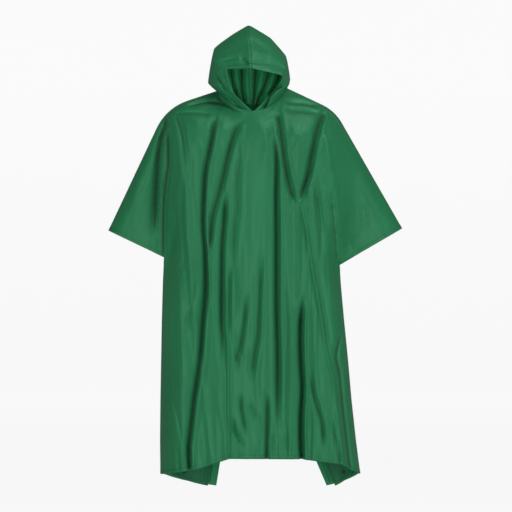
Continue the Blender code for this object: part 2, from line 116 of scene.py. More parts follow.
Hem = namedtuple("Hem", "x front_z back_z")
HEMS = (
    Hem(-0.267, -1.067, -1.058),
    Hem(-0.157, -1.047, -1.030),
    Hem(-0.075, -1.020, -1.012),
    Hem(0.126, -1.021, -1.012),
    Hem(0.240, -1.036, -1.030),
    Hem(0.291, -1.067, -1.060),
)

Depth = namedtuple("Depth", "z front back")
DEPTHS = (
    Depth(0.020, 0.100, 0.080),
    Depth(-0.100, 0.120, 0.112),
    Depth(-0.300, 0.132, 0.122),
    Depth(-0.600, 0.140, 0.128),
    Depth(-0.850, 0.152, 0.134),
    Depth(-1.060, 0.166, 0.140),
)

Wing = namedtuple("Wing", "share front_reach back_reach right_x left_x drop")
WINGS = (
    Wing(0.00, 0.00, 0.00, -0.110, 0.110, 0.000),
    Wing(0.08, 0.32, 0.00, -0.110, 0.110, 0.000),
    Wing(0.17, 0.56, 0.00, -0.108, 0.110, 0.000),
    Wing(0.28, 0.82, 0.50, -0.106, 0.109, 0.000),
    Wing(0.42, 1.00, 1.00, -0.100, 0.108, 0.002),
    Wing(0.70, 1.00, 1.00, -0.078, 0.112, 0.012),
    Wing(1.00, 1.00, 1.00, -0.113, 0.201, 0.045),
)
WING_DROP_SHARE = 0.6       # how much of the drop the cloth has made before its free edge
WING_WIDTH = 0.24           # cloth in a wing from the side of the body to its free edge
# How a wing bends over to its free edge, how much further out that edge lies, and where the wing begins.
WingTurn = namedtuple("WingTurn", "edge_y bow_x back inward bow_y step_x start")
FRONT_WING = WingTurn(0.191, 0.006, 0.95, 0.04, 0.012, 0.000, 0.00)
BACK_WING = WingTurn(0.179, 0.005, 0.78, 0.10, 0.000, 0.024, 0.18)

# ---------------- folds
# A fold follows a path of X and Z points. A positive depth draws the cloth in, and a negative one lifts a
# ridge. It deepens over run_in from its first point and fades over run_out before its last. Width is its half
# width, and left and right scale it on its sides towards -X and +X.
Fold = namedtuple("Fold", "path width depth run_in run_out left right", defaults=(1.0, 1.0))
FRONT_FOLDS = (
    # right sleeve against the body
    Fold(((-0.246, -0.064), (-0.262, -0.118), (-0.272, -0.182), (-0.277, -0.274), (-0.281, -0.35),
          (-0.286, -0.43)), 0.008, 0.038, 0.03, 0.12, 1.3, 0.9),
    Fold(((-0.246, -0.1), (-0.2445, -0.15), (-0.244, -0.205), (-0.25, -0.25), (-0.256, -0.3), (-0.258, -0.38),
          (-0.258, -0.47)), 0.0072, 0.024, 0.04, 0.02),
    Fold(((-0.2635, -0.15), (-0.265, -0.22), (-0.2665, -0.34)), 0.004, -0.007, 0.05, 0.1),
    # from the right shoulder
    Fold(((-0.226, -0.06), (-0.207, -0.126), (-0.196, -0.218), (-0.179, -0.3)),
         0.007, 0.013, 0.02, 0.16, 0.8, 1.4),
    Fold(((-0.108, -0.058), (-0.123, -0.146), (-0.138, -0.218), (-0.143, -0.28), (-0.1456, -0.37),
          (-0.14, -0.445), (-0.137, -0.526), (-0.14, -0.582), (-0.1456, -0.638), (-0.151, -0.714),
          (-0.16, -0.79), (-0.171, -0.862), (-0.179, -0.938), (-0.185, -0.994), (-0.183, -1.06)),
         0.0065, 0.032, 0.06, 0.02, 1.4, 0.7),
    Fold(((-0.134, -0.3), (-0.132, -0.445), (-0.128, -0.56), (-0.132, -0.64)), 0.0035, -0.007, 0.1, 0.1),
    # from the right of the neck
    Fold(((-0.034, -0.066), (-0.059, -0.118), (-0.078, -0.182), (-0.09, -0.238), (-0.104, -0.294),
          (-0.12, -0.35), (-0.126, -0.406), (-0.129, -0.46)), 0.0072, 0.024, 0.06, 0.05),
    Fold(((-0.084, -0.27), (-0.087, -0.333), (-0.089, -0.37), (-0.094, -0.426), (-0.095, -0.482),
          (-0.096, -0.638), (-0.092, -0.694), (-0.09, -0.8)), 0.0065, 0.028, 0.08, 0.2),
    Fold(((-0.081, -0.5), (-0.0795, -0.64), (-0.078, -0.76), (-0.077, -0.9), (-0.076, -1.03)),
         0.0035, -0.009, 0.08, 0.02, 1.0, 1.6),
    Fold(((-0.07, -0.47), (-0.0735, -0.56), (-0.0745, -0.64), (-0.074, -0.72)), 0.0045, 0.013, 0.06, 0.08),
    Fold(((-0.042, -0.15), (-0.053, -0.258), (-0.053, -0.333), (-0.059, -0.37), (-0.064, -0.426),
          (-0.068, -0.52)), 0.007, 0.012, 0.08, 0.12, 1.0, 1.2),
    Fold(((-0.037, -0.072), (-0.038, -0.14), (-0.037, -0.23)), 0.0045, -0.006, 0.03, 0.08),
    # from the left of the neck
    Fold(((0.006, -0.076), (0.024, -0.14), (0.042, -0.21)), 0.0045, -0.0055, 0.03, 0.08),
    Fold(((0.078, -0.15), (0.098, -0.225), (0.116, -0.292)), 0.0042, -0.006, 0.05, 0.03),
    Fold(((0.06, -0.06), (0.07, -0.126), (0.081, -0.202), (0.095, -0.274), (0.115, -0.322)),
         0.0072, 0.024, 0.02, 0.04, 1.2, 1.0),
    Fold(((0.115, -0.3), (0.129, -0.33), (0.143, -0.406), (0.157, -0.501), (0.168, -0.557), (0.179, -0.619),
          (0.193, -0.714), (0.213, -0.806), (0.227, -0.902), (0.241, -1.03)),
         0.0045, -0.012, 0.06, 0.02, 1.4, 0.8),
    Fold(((0.15, -0.4), (0.172, -0.52), (0.19, -0.64), (0.215, -0.78)), 0.011, 0.01, 0.1, 0.12, 0.7, 1.3),
    # from the left shoulder
    Fold(((0.189, -0.05), (0.168, -0.118), (0.154, -0.182), (0.143, -0.238), (0.118, -0.318)),
         0.0075, 0.032, 0.02, 0.05),
    Fold(((0.162, -0.21), (0.165, -0.274), (0.176, -0.37), (0.179, -0.42), (0.176, -0.53)),
         0.008, 0.012, 0.08, 0.12),
    # the long middle fold
    Fold(((0.044, -0.09), (0.056, -0.182), (0.055, -0.294), (0.056, -0.406), (0.056, -0.582), (0.059, -0.75),
          (0.059, -0.862), (0.06, -1.0)), 0.0062, 0.03, 0.12, 0.22, 0.9, 1.2),
    # left sleeve against the body
    Fold(((0.181, -0.085), (0.2, -0.17), (0.216, -0.257), (0.23, -0.35), (0.241, -0.42)),
         0.0042, -0.008, 0.05, 0.04, 1.0, 1.4),
    Fold(((0.206, -0.27), (0.212, -0.33), (0.219, -0.4), (0.225, -0.48)), 0.0055, 0.016, 0.06, 0.02),
    Fold(((0.24, -0.417), (0.252, -0.432), (0.266, -0.46)), 0.005, 0.01, 0.02, 0.02),
    Fold(((0.276, -0.395), (0.279, -0.425), (0.287, -0.445)), 0.0045, 0.006, 0.02, 0.02),
    Fold(((0.296, -0.3), (0.301, -0.335), (0.303, -0.37), (0.311, -0.405)), 0.0042, 0.0045, 0.04, 0.04),
    # from the left hip down
    Fold(((0.132, -0.56), (0.122, -0.65), (0.123, -0.75), (0.127, -0.826), (0.123, -0.902), (0.123, -0.977),
          (0.128, -1.06)), 0.0062, 0.042, 0.09, 0.01, 0.8, 1.2),
    Fold(((0.148, -0.75), (0.16, -0.846), (0.182, -0.921), (0.186, -1.01)), 0.0055, 0.017, 0.08, 0.06),
    Fold(((0.236, -0.66), (0.229, -0.7), (0.222, -0.74), (0.232, -0.79), (0.241, -0.882), (0.252, -0.977),
          (0.262, -1.06)), 0.007, 0.024, 0.05, 0.02, 1.0, 1.2),
    # between the long folds
    Fold(((0.016, -0.44), (0.012, -0.53), (0.006, -0.675), (-0.004, -0.734), (-0.012, -0.814)),
         0.005, 0.017, 0.1, 0.06),
    Fold(((-0.025, -0.56), (-0.032, -0.64), (-0.044, -0.716), (-0.054, -0.745), (-0.04, -0.775)),
         0.0048, 0.016, 0.06, 0.04),
    Fold(((0.031, -0.82), (0.031, -0.921), (0.028, -1.045)), 0.0055, 0.019, 0.07, 0.02),
    Fold(((-0.037, -0.83), (-0.042, -0.875), (-0.034, -0.92), (-0.028, -0.96)), 0.0046, 0.014, 0.04, 0.04),
    Fold(((-0.024, -0.866), (-0.006, -0.9), (0.02, -0.924)), 0.0042, 0.01, 0.03, 0.03),
    Fold(((-0.066, -0.91), (-0.058, -0.95), (-0.044, -0.974), (-0.02, -0.986)), 0.0044, 0.012, 0.03, 0.03),
    Fold(((0.08, -0.56), (0.086, -0.66), (0.082, -0.76)), 0.007, 0.007, 0.08, 0.08),
    Fold(((0.196, -0.706), (0.212, -0.722), (0.228, -0.742)), 0.005, 0.008, 0.02, 0.02),
    # low on the right side, and puckers over the hem
    Fold(((-0.249, -0.74), (-0.24, -0.8), (-0.228, -0.86), (-0.212, -0.92), (-0.205, -0.99)),
         0.006, 0.009, 0.06, 0.05),
    Fold(((-0.186, -0.43), (-0.204, -0.485), (-0.23, -0.53), (-0.24, -0.59)), 0.006, 0.007, 0.05, 0.04),
    Fold(((-0.166, -0.51), (-0.167, -0.568), (-0.189, -0.64), (-0.196, -0.69)), 0.006, 0.008, 0.05, 0.05),
    Fold(((-0.236, -0.99), (-0.228, -1.05)), 0.004, 0.009, 0.04, 0.005),
    Fold(((-0.217, -0.98), (-0.211, -1.052)), 0.004, 0.011, 0.04, 0.005),
    Fold(((-0.201, -0.995), (-0.196, -1.05)), 0.0036, 0.009, 0.03, 0.005),
    Fold(((0.04, -0.93), (0.044, -1.01)), 0.0042, 0.007, 0.04, 0.005),
    Fold(((0.084, -0.925), (0.086, -1.008)), 0.0042, 0.008, 0.05, 0.005),
    Fold(((0.1, -0.95), (0.101, -1.012)), 0.0036, 0.006, 0.04, 0.005),
    Fold(((0.206, -0.9), (0.222, -0.98), (0.234, -1.04)), 0.006, 0.012, 0.06, 0.01),
    # over the shoulders
    Fold(((-0.18, -0.044), (-0.12, -0.04), (-0.06, -0.054), (0.0, -0.066)), 0.006, -0.006, 0.05, 0.05),
    Fold(((-0.205, -0.046), (-0.16, -0.03), (-0.11, -0.026), (-0.07, -0.038)), 0.0055, 0.02, 0.04, 0.03),
    Fold(((-0.235, -0.066), (-0.2, -0.06), (-0.15, -0.062), (-0.105, -0.072)), 0.006, 0.013, 0.03, 0.04),
    Fold(((-0.11, -0.008), (-0.086, -0.03), (-0.06, -0.05), (-0.03, -0.066)), 0.005, 0.018, 0.01, 0.03),
    Fold(((0.076, -0.03), (0.125, -0.03), (0.184, -0.04)), 0.006, 0.018, 0.03, 0.02),
    Fold(((0.072, -0.048), (0.12, -0.054), (0.186, -0.06)), 0.006, 0.015, 0.03, 0.03),
)
BACK_FOLDS = (
    Fold(((-0.245, -0.09), (-0.25, -0.26), (-0.246, -0.47)), 0.008, 0.03, 0.06, 0.05, 1.2, 0.8),
    Fold(((-0.15, -0.05), (-0.165, -0.4), (-0.178, -1.06)), 0.009, 0.026, 0.1, 0.02, 1.0, 1.2),
    Fold(((-0.07, -0.02), (-0.085, -0.42), (-0.1, -0.76), (-0.095, -1.05)), 0.008, 0.02, 0.1, 0.02, 1.2, 1.0),
    Fold(((-0.11, -0.3), (-0.128, -0.56), (-0.13, -0.86)), 0.008, 0.012, 0.12, 0.12),
    Fold(((-0.01, -0.06), (-0.018, -0.3), (-0.02, -0.68)), 0.0075, 0.014, 0.1, 0.16),
    Fold(((0.03, -0.3), (0.034, -0.64), (0.036, -1.05)), 0.007, 0.024, 0.14, 0.02, 0.9, 1.2),
    Fold(((0.075, -0.02), (0.092, -0.36), (0.1, -0.9)), 0.008, 0.02, 0.1, 0.14),
    Fold(((0.124, -0.54), (0.132, -0.76), (0.138, -1.06)), 0.0065, 0.02, 0.1, 0.02),
    Fold(((0.14, -0.05), (0.16, -0.42), (0.18, -1.06)), 0.009, 0.024, 0.1, 0.02),
    Fold(((0.225, -0.09), (0.232, -0.26), (0.226, -0.48)), 0.008, 0.028, 0.06, 0.05, 0.8, 1.2),
    Fold(((-0.2, -0.56), (-0.206, -0.8), (-0.214, -1.06)), 0.008, 0.014, 0.1, 0.02),
)
# the gathers down the back of the hood and on below the nape, seen through the face opening
GATHERS = (
    Fold(((-0.076, 0.1), (-0.07, 0.06), (-0.062, 0.022), (-0.05, -0.012), (-0.036, -0.05)),
         0.008, 0.026, 0.05, 0.02),
    Fold(((-0.042, 0.1), (-0.04, 0.06), (-0.039, 0.015), (-0.034, -0.018), (-0.026, -0.06)),
         0.0082, 0.028, 0.05, 0.02),
    Fold(((0.002, 0.1), (-0.001, 0.056), (-0.004, 0.0), (-0.008, -0.04), (-0.01, -0.08)),
         0.0092, 0.029, 0.06, 0.02),
    Fold(((0.046, 0.1), (0.035, 0.054), (0.022, 0.014), (0.008, -0.014), (0.0, -0.05)),
         0.0082, 0.028, 0.05, 0.02),
    Fold(((0.076, 0.09), (0.066, 0.05), (0.052, 0.018), (0.03, -0.014)), 0.009, 0.022, 0.03, 0.02),
    Fold(((-0.022, 0.08), (-0.02, 0.04), (-0.022, 0.0), (-0.02, -0.05)), 0.004, 0.006, 0.03, 0.02),
)
GATHERS_FLOOR = -0.09       # the height to which they run on down the back
HOOD_CREASES = (
    # over the brow
    Fold(((-0.112, 0.08), (-0.085, 0.084), (-0.06, 0.088), (-0.03, 0.086)), 0.0048, 0.006, 0.03, 0.05),
    Fold(((-0.1, 0.094), (-0.066, 0.102), (-0.03, 0.096)), 0.005, -0.004, 0.03, 0.03),
    Fold(((0.088, 0.05), (0.066, 0.066), (0.036, 0.074), (0.0, 0.078), (-0.03, 0.074)),
         0.0048, 0.007, 0.02, 0.03),
    Fold(((-0.02, 0.15), (0.02, 0.12), (0.055, 0.096)), 0.008, 0.003, 0.03, 0.04),
    # on the cheeks
    Fold(((-0.116, 0.03), (-0.104, 0.052), (-0.086, 0.066)), 0.0045, -0.005, 0.02, 0.02),
    Fold(((-0.114, 0.048), (-0.1, 0.028), (-0.086, 0.004), (-0.076, -0.008)), 0.004, 0.012, 0.015, 0.015),
    Fold(((-0.104, 0.002), (-0.094, -0.008), (-0.08, -0.014)), 0.0045, 0.009, 0.015, 0.015),
    Fold(((-0.048, 0.096), (-0.032, 0.082), (-0.02, 0.066)), 0.0055, 0.011, 0.02, 0.01),
    Fold(((0.1, 0.084), (0.094, 0.05), (0.088, 0.026)), 0.005, 0.005, 0.02, 0.02),
    # under the face opening, a rolled band each side of the throat
    Fold(((-0.078, -0.014), (-0.062, -0.032), (-0.044, -0.05), (-0.024, -0.058)), 0.0036, 0.01, 0.02, 0.02),
    Fold(((0.018, -0.058), (0.027, -0.038), (0.042, -0.01), (0.062, 0.006), (0.08, 0.018)),
         0.0046, 0.023, 0.015, 0.02),
)
CREASE_WIDTH = 0.85
CREASE_EDGE = 1.6           # 2 gives a round trough, and less a sharper crease
SOFT_SHARE = 0.30           # how much of a fold's depth is a pair of wide flat slopes towards it
SOFT_WIDTH = 6.4
SWELL = 0.16                # how high the cloth swells beyond the +X side of a crease
SWELL_PLACE = 2.2
TOP_FOLDS = 0.45            # the share of a fold's depth on top of the shoulders
FAR = 3.0                   # how many widths from a crease its shading ends
PAINTED_SHOULDER_SHADE = 0.011       # painted shade along the cloth's turn over the left shoulder, as a fold's depth
SHOULDER_LINE_START = 0.65  # the share of the width at which it starts
SHOULDER_LINE_FADE = 0.74   # and at which it begins to weaken
SHOULDER_LINE_WIDTH = 0.008

# ---------------- the two halves of the sheet
# Columns is the share of the drape's columns, and the near ones are beside the edges and over the shoulders.
Grid = namedtuple("Grid", "columns near_columns row_height near_rows")
# Sign is the half's direction along Y. Its sides lie side_depth out from the shoulder line, and side_round is
# the width over which it turns in to them.
Half = namedtuple("Half", "name sign folds side_depth side_round wing grid")
FRONT = Half("front", -1, FRONT_FOLDS, 0.020, 0.085, FRONT_WING, Grid(1.0, 46, 0.0118, 20))
BACK = Half("back", 1, BACK_FOLDS, 0.134, 0.030, BACK_WING, Grid(0.45, 16, 0.0150, 9))

# ---------------- the hood
# Sections of the hood's halves at turns round the neck hole, in degrees from the throat to the back seam.
Hood = namedtuple("Hood", "turn seam_x seam_y seam_z side_y "
                  "right_low_x right_low_z right_high_x right_high_z "
                  "left_low_x left_low_z left_high_x left_high_z")
HOOD = (
    Hood(4, -0.012, -0.150, 0.060, -0.124, -0.061, -0.008, -0.081, 0.058, 0.056, 0.002, 0.074, 0.040),
    Hood(42, -0.016, -0.092, 0.126, -0.086, -0.116, 0.014, -0.116, 0.084, 0.086, 0.014, 0.082, 0.074),
    Hood(84, -0.020, -0.008, 0.187, -0.010, -0.134, 0.026, -0.116, 0.122, 0.094, 0.028, 0.080, 0.100),
    Hood(130, -0.019, 0.066, 0.158, 0.050, -0.112, 0.040, -0.100, 0.108, 0.084, 0.040, 0.076, 0.098),
    Hood(177, -0.016, 0.092, 0.112, 0.070, -0.016, 0.020, -0.016, 0.068, -0.016, 0.020, -0.016, 0.068),
)
CORNER_NAMES = ("low_x", "low_z", "high_x", "high_z")
BROW_SHARE = {"right": 0.52, "left": 0.40}
BROW_FORWARD = 0.10
BROW_RISE = {"right": 0.004, "left": 0.015}     # at the crown, and less towards the brim
HOOD_UP_KNOTS = (0.0, 0.26, 0.58, 0.80, 1.0)
HOOD_CORNERS = 0.70         # how much of the sections' own corners stays in the film's stiff bends
HOOD_DEPTH = 0.24           # cloth from the brim to the back seam
HOOD_SEAM_START = 0.975     # how far up a half its seam edge begins
HOOD_SEAM_GAP = 0.0001
HOOD_MIDDLE = np.array((0.008, 0.02, 0.03))
HOOD_WINDING = -1           # turns the halves' faces outwards
BRIM_ROLL = 0.004           # how far the brim's edge turns back
BRIM_ROLL_SHARE = 0.05
THROAT_CLOSE = 3.2          # degrees by which the halves' lower front corners come closer at the throat
HOOD_SEAM_ROLL = 0.0018     # the halves roll in to each other over the last of the way to the seam


# ---------------- settings
def colour_property(name, description, default):
    return FloatVectorProperty(name=name, description=description, default=default, subtype="COLOR", size=3,
                               min=0, max=1)


def length_property(name, description, default, low=-100.0, precision=3):
    return FloatProperty(name=name, description=description, default=default, min=low, unit="LENGTH",
                         precision=precision)


class FilmSettings(PropertyGroup):
    colour: colour_property("Film", "Colour of the coated film", (0.0108, 0.099, 0.040))
    # a paler copy of the film's colour, painted light on the body sheet's inner face where it lies in shade
    lit_inside_colour: colour_property("Inside", "Colour of the body sheet's inner face", (0.0175, 0.160, 0.065))
    # a paler copy of the film's colour, painted light on the hood's inner face where it lies in shade
    hood_colour: colour_property("Inside of the hood", "Colour of the hood's inner face", (0.034, 0.31, 0.13))
    # painted shade down in the deepest folds; the hem's pressed line uses the same dark colour
    fold_shade_and_hem_line_colour: colour_property("Deep folds", "Colour down in the deepest folds", (0.023, 0.049, 0.029))
    # the paler colour serves the film's random patches of tone and the painted highlight beside its creases
    sheen: FloatProperty(name="Stretched film", description="How much paler the film is where it is taut",
                         default=1.85, min=1, soft_max=2)
    roughness: FloatProperty(name="Roughness", description="Roughness of the film", default=0.4, min=0, max=1,
                             subtype="FACTOR")
    wall: length_property("Film", "Thickness of the film", 0.0006, 0.0002, 4)
    hem_wall: length_property("Hem", "Thickness of the turned hem", 0.0013, 0.0002, 4)


class DrapeSettings(PropertyGroup):
    columns: IntProperty(name="Columns", description="Steps across the front of the sheet", default=222,
                         min=20)
    fold_scale: FloatProperty(name="Fold depth", description="Scale of every fold's depth", default=0.85,
                              min=0, soft_max=2, subtype="FACTOR")
    ripple: length_property("Ripple", "Height of the slow hollows between the folds", 0.0035, 0.0, 4)


class StudSettings(PropertyGroup):
    radius: length_property("Radius", "Radius of a press stud's cap", 0.0058, 0.001, 4)
    colour: colour_property("Cap", "Colour of the press studs", (0.008, 0.030, 0.016))


class StageSettings(PropertyGroup):
    floor: length_property("Floor", "Height of the floor", -1.36)
    distance: length_property("Camera distance", "From the camera to the poncho", 12.0, 1.0)
    view_width: length_property("View width", "Width of the view at the poncho", 1.4336, 0.1)
    view_height: length_property("View centre", "Height of the view's centre", -0.4592)


# ---------------- shapes in numbers
def ease(t):
    """0 to 1 with level ends."""
    t = np.clip(t, 0.0, 1.0)
    return t * t * (3.0 - 2.0 * t)


def quarter(t):
    """A quarter circle's rise from 0 to 1."""
    return np.sqrt(1.0 - (1.0 - np.clip(t, 0.0, 1.0)) ** 2)


def between(a, b, t):
    return a * (1.0 - t) + b * t


def column(table, name):
    return [getattr(row, name) for row in table]


def by_height(table, name, z):
    """A table's column read at heights z, where the table runs from high to low."""
    return np.interp(-z, [-h for h in column(table, "z")], column(table, name))


def spline(knots, rows, t):
    """The point at t on the smooth curve through the rows, which stand at the knots."""
    rows = [np.asarray(row, dtype=float) for row in rows]
    last = len(knots) - 1
    t = min(max(t, knots[0]), knots[last])
    i = min(max(k for k in range(last + 1) if knots[k] <= t), last - 1)

    def slope(k):
        before, after = max(k - 1, 0), min(k + 1, last)
        return (rows[after] - rows[before]) / (knots[after] - knots[before])

    span = knots[i + 1] - knots[i]
    u = (t - knots[i]) / span
    start = rows[i] * (1 + 2 * u) * (1 - u) ** 2 + slope(i) * span * u * (1 - u) ** 2
    end = rows[i + 1] * u * u * (3 - 2 * u) + slope(i + 1) * span * u * u * (u - 1)
    return start + end


def slow_noise(u, v, seed):
    """Smooth noise from -1 to 1 that changes over about one unit of u and of v."""
    table = np.random.default_rng(seed).uniform(-1.0, 1.0, (64, 64))
    i, j = np.floor(u).astype(int), np.floor(v).astype(int)
    s, t = ease(u - i), ease(v - j)
    low = between(table[i % 64, j % 64], table[(i + 1) % 64, j % 64], s)
    high = between(table[i % 64, (j + 1) % 64], table[(i + 1) % 64, (j + 1) % 64], s)
    return between(low, high, t)


def as_turn(place):
    """Places beside a crease as turns, so that two creases meet half a turn away from either one."""
    turn = np.asarray(place) / FAR * np.pi
    return {"beside_cos": np.cos(turn), "beside_sin": np.sin(turn)}


def smooth_path(path, steps=5):
    """A path's points with a smooth curve through them, and their distances along it."""
    knots = list(range(len(path)))
    points = np.array([spline(knots, path, t) for t in np.linspace(0, knots[-1], knots[-1] * steps + 1)])
    lengths = np.linalg.norm(np.diff(points, axis=0), axis=1)
    return points, np.concatenate(([0.0], np.cumsum(lengths)))


def fold_profile(fold, x, z):
    """How far one fold acts at each point from 0 to 1, how far it runs there, and the widths from its crease.

    The widths are negative towards -X. The cloth beyond a crease's +X side swells a little over it.
    """
    path, at = smooth_path(fold.path)
    reach = fold.width * SOFT_WIDTH * 1.6
    near = ((x > path[:, 0].min() - reach) & (x < path[:, 0].max() + reach)
            & (z > path[:, 1].min() - reach) & (z < path[:, 1].max() + reach))
    px, pz = x[near], z[near]
    best = np.full(px.shape, np.inf)
    side, along = np.zeros(px.shape), np.zeros(px.shape)
    for (ax, az), (bx, bz), start, stop in zip(path, path[1:], at, at[1:]):
        dx, dz, span = bx - ax, bz - az, stop - start
        t = np.clip(((px - ax) * dx + (pz - az) * dz) / span ** 2, 0.0, 1.0)
        off_x, off_z = px - ax - t * dx, pz - az - t * dz
        distance = np.hypot(off_x, off_z)
        closer = distance < best
        best = np.where(closer, distance, best)
        side = np.where(closer, dx * off_z - dz * off_x, side)
        along = np.where(closer, start + t * span, along)
    width = fold.width * np.where(side > 0, fold.right, fold.left) * CREASE_WIDTH
    crease = np.exp(-(best / width) ** CREASE_EDGE)
    slopes = np.clip(1.0 - best / (width * SOFT_WIDTH), 0.0, 1.0)
    beside = np.where(side > 0, best, -best) / width
    swell = SWELL * np.exp(-((beside - SWELL_PLACE) / 0.8) ** 2)
    full, run, place = np.zeros(x.shape), np.zeros(x.shape), np.full(x.shape, FAR)
    run[near] = ease(along / fold.run_in) * ease((at[-1] - along) / fold.run_out)
    full[near] = (between(crease, slopes, SOFT_SHARE) - swell) * run[near]
    place[near] = np.clip(beside, -FAR, FAR)
    return full, run, place


def fold_depth(folds, x, z):
    """How far the folds draw the cloth in at each X and Z, and the depth and place of the nearest crease."""
    troughs, ridges = np.zeros(x.shape), np.zeros(x.shape)
    strength, place = np.zeros(x.shape), np.full(x.shape, FAR)
    for fold in folds:
        full, run, beside = fold_profile(fold, x, z)
        if fold.depth > 0:
            troughs += (fold.depth * full) ** 3
            nearer = (np.abs(beside) < np.abs(place)) & (run > 0.02)
            strength, place = np.where(nearer, fold.depth * run, strength), np.where(nearer, beside, place)
        else:
            ridges += fold.depth * full
    return np.cbrt(troughs) + ridges, strength, place


# ---------------- the sheet's edges
def neck_points(angle):
    """Points of the neck hole's edge; 0 is the throat, 90 a side and 180 the nape, right side positive."""
    turn = np.radians(angle)
    x = NECK_X - NECK_RADIUS_X * np.sin(turn)
    front = np.cos(turn)
    side_z = np.where(angle > 0, SIDES[0].neck_z, SIDES[1].neck_z)
    before = np.stack((x, NECK_FRONT_Y * front, side_z + (THROAT_Z - side_z) * np.abs(front) ** 1.4), -1)
    behind = np.stack((x, -NECK_BACK_Y * front, side_z - (NAPE_Z - side_z) * front), -1)
    return np.where((front > 0)[..., None], before, behind)


def shoulder_fold(side):
    """Points along the fold from the side of the neck to the cuff's top corner."""
    neck = np.array((NECK_X + side.sign * NECK_RADIUS_X, 0.0, side.neck_z))
    corner = np.array((side.corner_x, 0.0, side.corner_z))
    tip = np.array((side.tip_x, 0.0, side.tip_z))
    start = corner + (neck - corner) / np.linalg.norm(neck - corner) * side.fillet
    stop = corner + (tip - corner) / np.linalg.norm(tip - corner) * side.fillet
    bend = [between(between(start, corner, t), between(corner, stop, t), t) for t in np.linspace(0, 1, 13)]
    return np.array([neck] + bend + [tip])


def along_line(points, share):
    """The points at shares of a polyline's length."""
    at = np.concatenate(([0.0], np.cumsum(np.linalg.norm(np.diff(points, axis=0), axis=1))))
    return np.stack([np.interp(share * at[-1], at, points[:, k]) for k in range(3)], -1)


def top_edge(across, half):
    """The upper edge of one half of the sheet: the shoulder fold and the neck hole."""
    right = along_line(shoulder_fold(SIDES[0]), 1.0 - across / (0.5 - NECK_SHARE))
    left = along_line(shoulder_fold(SIDES[1]), 1.0 - (1.0 - across) / (0.5 - NECK_SHARE))
    angle = 90.0 * np.clip((0.5 - across) / NECK_SHARE, -1.0, 1.0)
    if half is BACK:
        angle = np.copysign(180.0, angle) - angle
    edge = np.where((across < 0.5)[..., None], right, left)
    return np.where((np.abs(across - 0.5) < NECK_SHARE - 1e-6)[..., None], neck_points(angle), edge)


def below_cuff(down):
    """The share of the way down the side, from where the cuff passes the body to the hem."""
    return (down - CUFF) / (HALF_LENGTH - CUFF)


def side_edge(side, down, half):
    """The side of one half as X and Z: the cuff, and below it the fold beside the body."""
    edge_name = f"{side.name}_{half.name}"
    end_x = float(by_height(OUTLINES, edge_name, side.cuff_z))
    below = between(side.cuff_z, HEM_CORNER_Z, below_cuff(down))
    on_cuff = np.clip(down / CUFF, 0.0, 1.0)
    x = np.where(down < CUFF, between(side.tip_x, end_x, on_cuff), by_height(OUTLINES, edge_name, below))
    z = np.where(down < CUFF, between(side.tip_z, side.cuff_z, on_cuff), below)
    return x, z


def hem_edge(across, half):
    """The hem of one half as X and Z."""
    ends = [float(side_edge(side, np.array(HALF_LENGTH), half)[0]) for side in SIDES]
    x = between(*ends, across)
    return x, np.interp(x, column(HEMS, "x"), column(HEMS, f"{half.name}_z"))


def flat_place(across, down, half):
    """X and Z of the points of one half, from its four edges."""
    ends = np.array((0.0, 1.0))
    t = down / HALF_LENGTH
    top, hem = top_edge(across, half), hem_edge(across, half)
    top_ends, hem_ends = top_edge(ends, half), hem_edge(ends, half)
    right, left = (side_edge(side, down, half) for side in SIDES)
    placed = []
    for k, axis in ((0, 0), (1, 2)):
        corners = between(between(*top_ends[:, axis], across), between(*hem_ends[k], across), t)
        placed.append(between(top[..., axis], hem[k], t) + between(right[k], left[k], across) - corners)
    return placed


def relaxed(grid, across, down):
    """A grid of numbers with the kink below each side of the neck hole smoothed out along its rows."""
    from_kink = np.abs(np.abs(across - 0.5) - NECK_SHARE)
    ease_off = 0.5 * ease(1.0 - from_kink / KINK_WINDOW) * ease(down / KINK_RUN_IN)
    for _ in range(KINK_ROUNDS):
        grid = grid.copy()
        grid[:, 1:-1] += ease_off[:, 1:-1] * ((grid[:, :-2] + grid[:, 2:]) / 2 - grid[:, 1:-1])
    return grid


def behind_head(y):
    """0 in front of the head and 1 behind it, where the gathers are."""
    return ease((y - 0.01) / 0.04)


def hollows(width, down, half):
    """The slow hollows and the crisp small ridges between the folds, from about -1 to 1."""
    hollow = slow_noise(width / 0.060, down / 0.42, 11 + half.sign)
    sway = 0.020 * slow_noise(width / 0.20, down / 0.22, 29 + half.sign)
    for size, length, height, seed in ((0.050, 0.34, 0.80, 23), (0.026, 0.16, 0.34, 37)):
        crossing = slow_noise((width + sway) / size, down / length, seed + half.sign)
        hollow += height * (0.5 - np.sqrt(crossing ** 2 + 0.006)) * 1.4
    puckers = slow_noise(width / 0.013, down / 0.05, 61 + half.sign)
    return hollow + 0.30 * puckers * ease((down - HALF_LENGTH + 0.055) / 0.04)


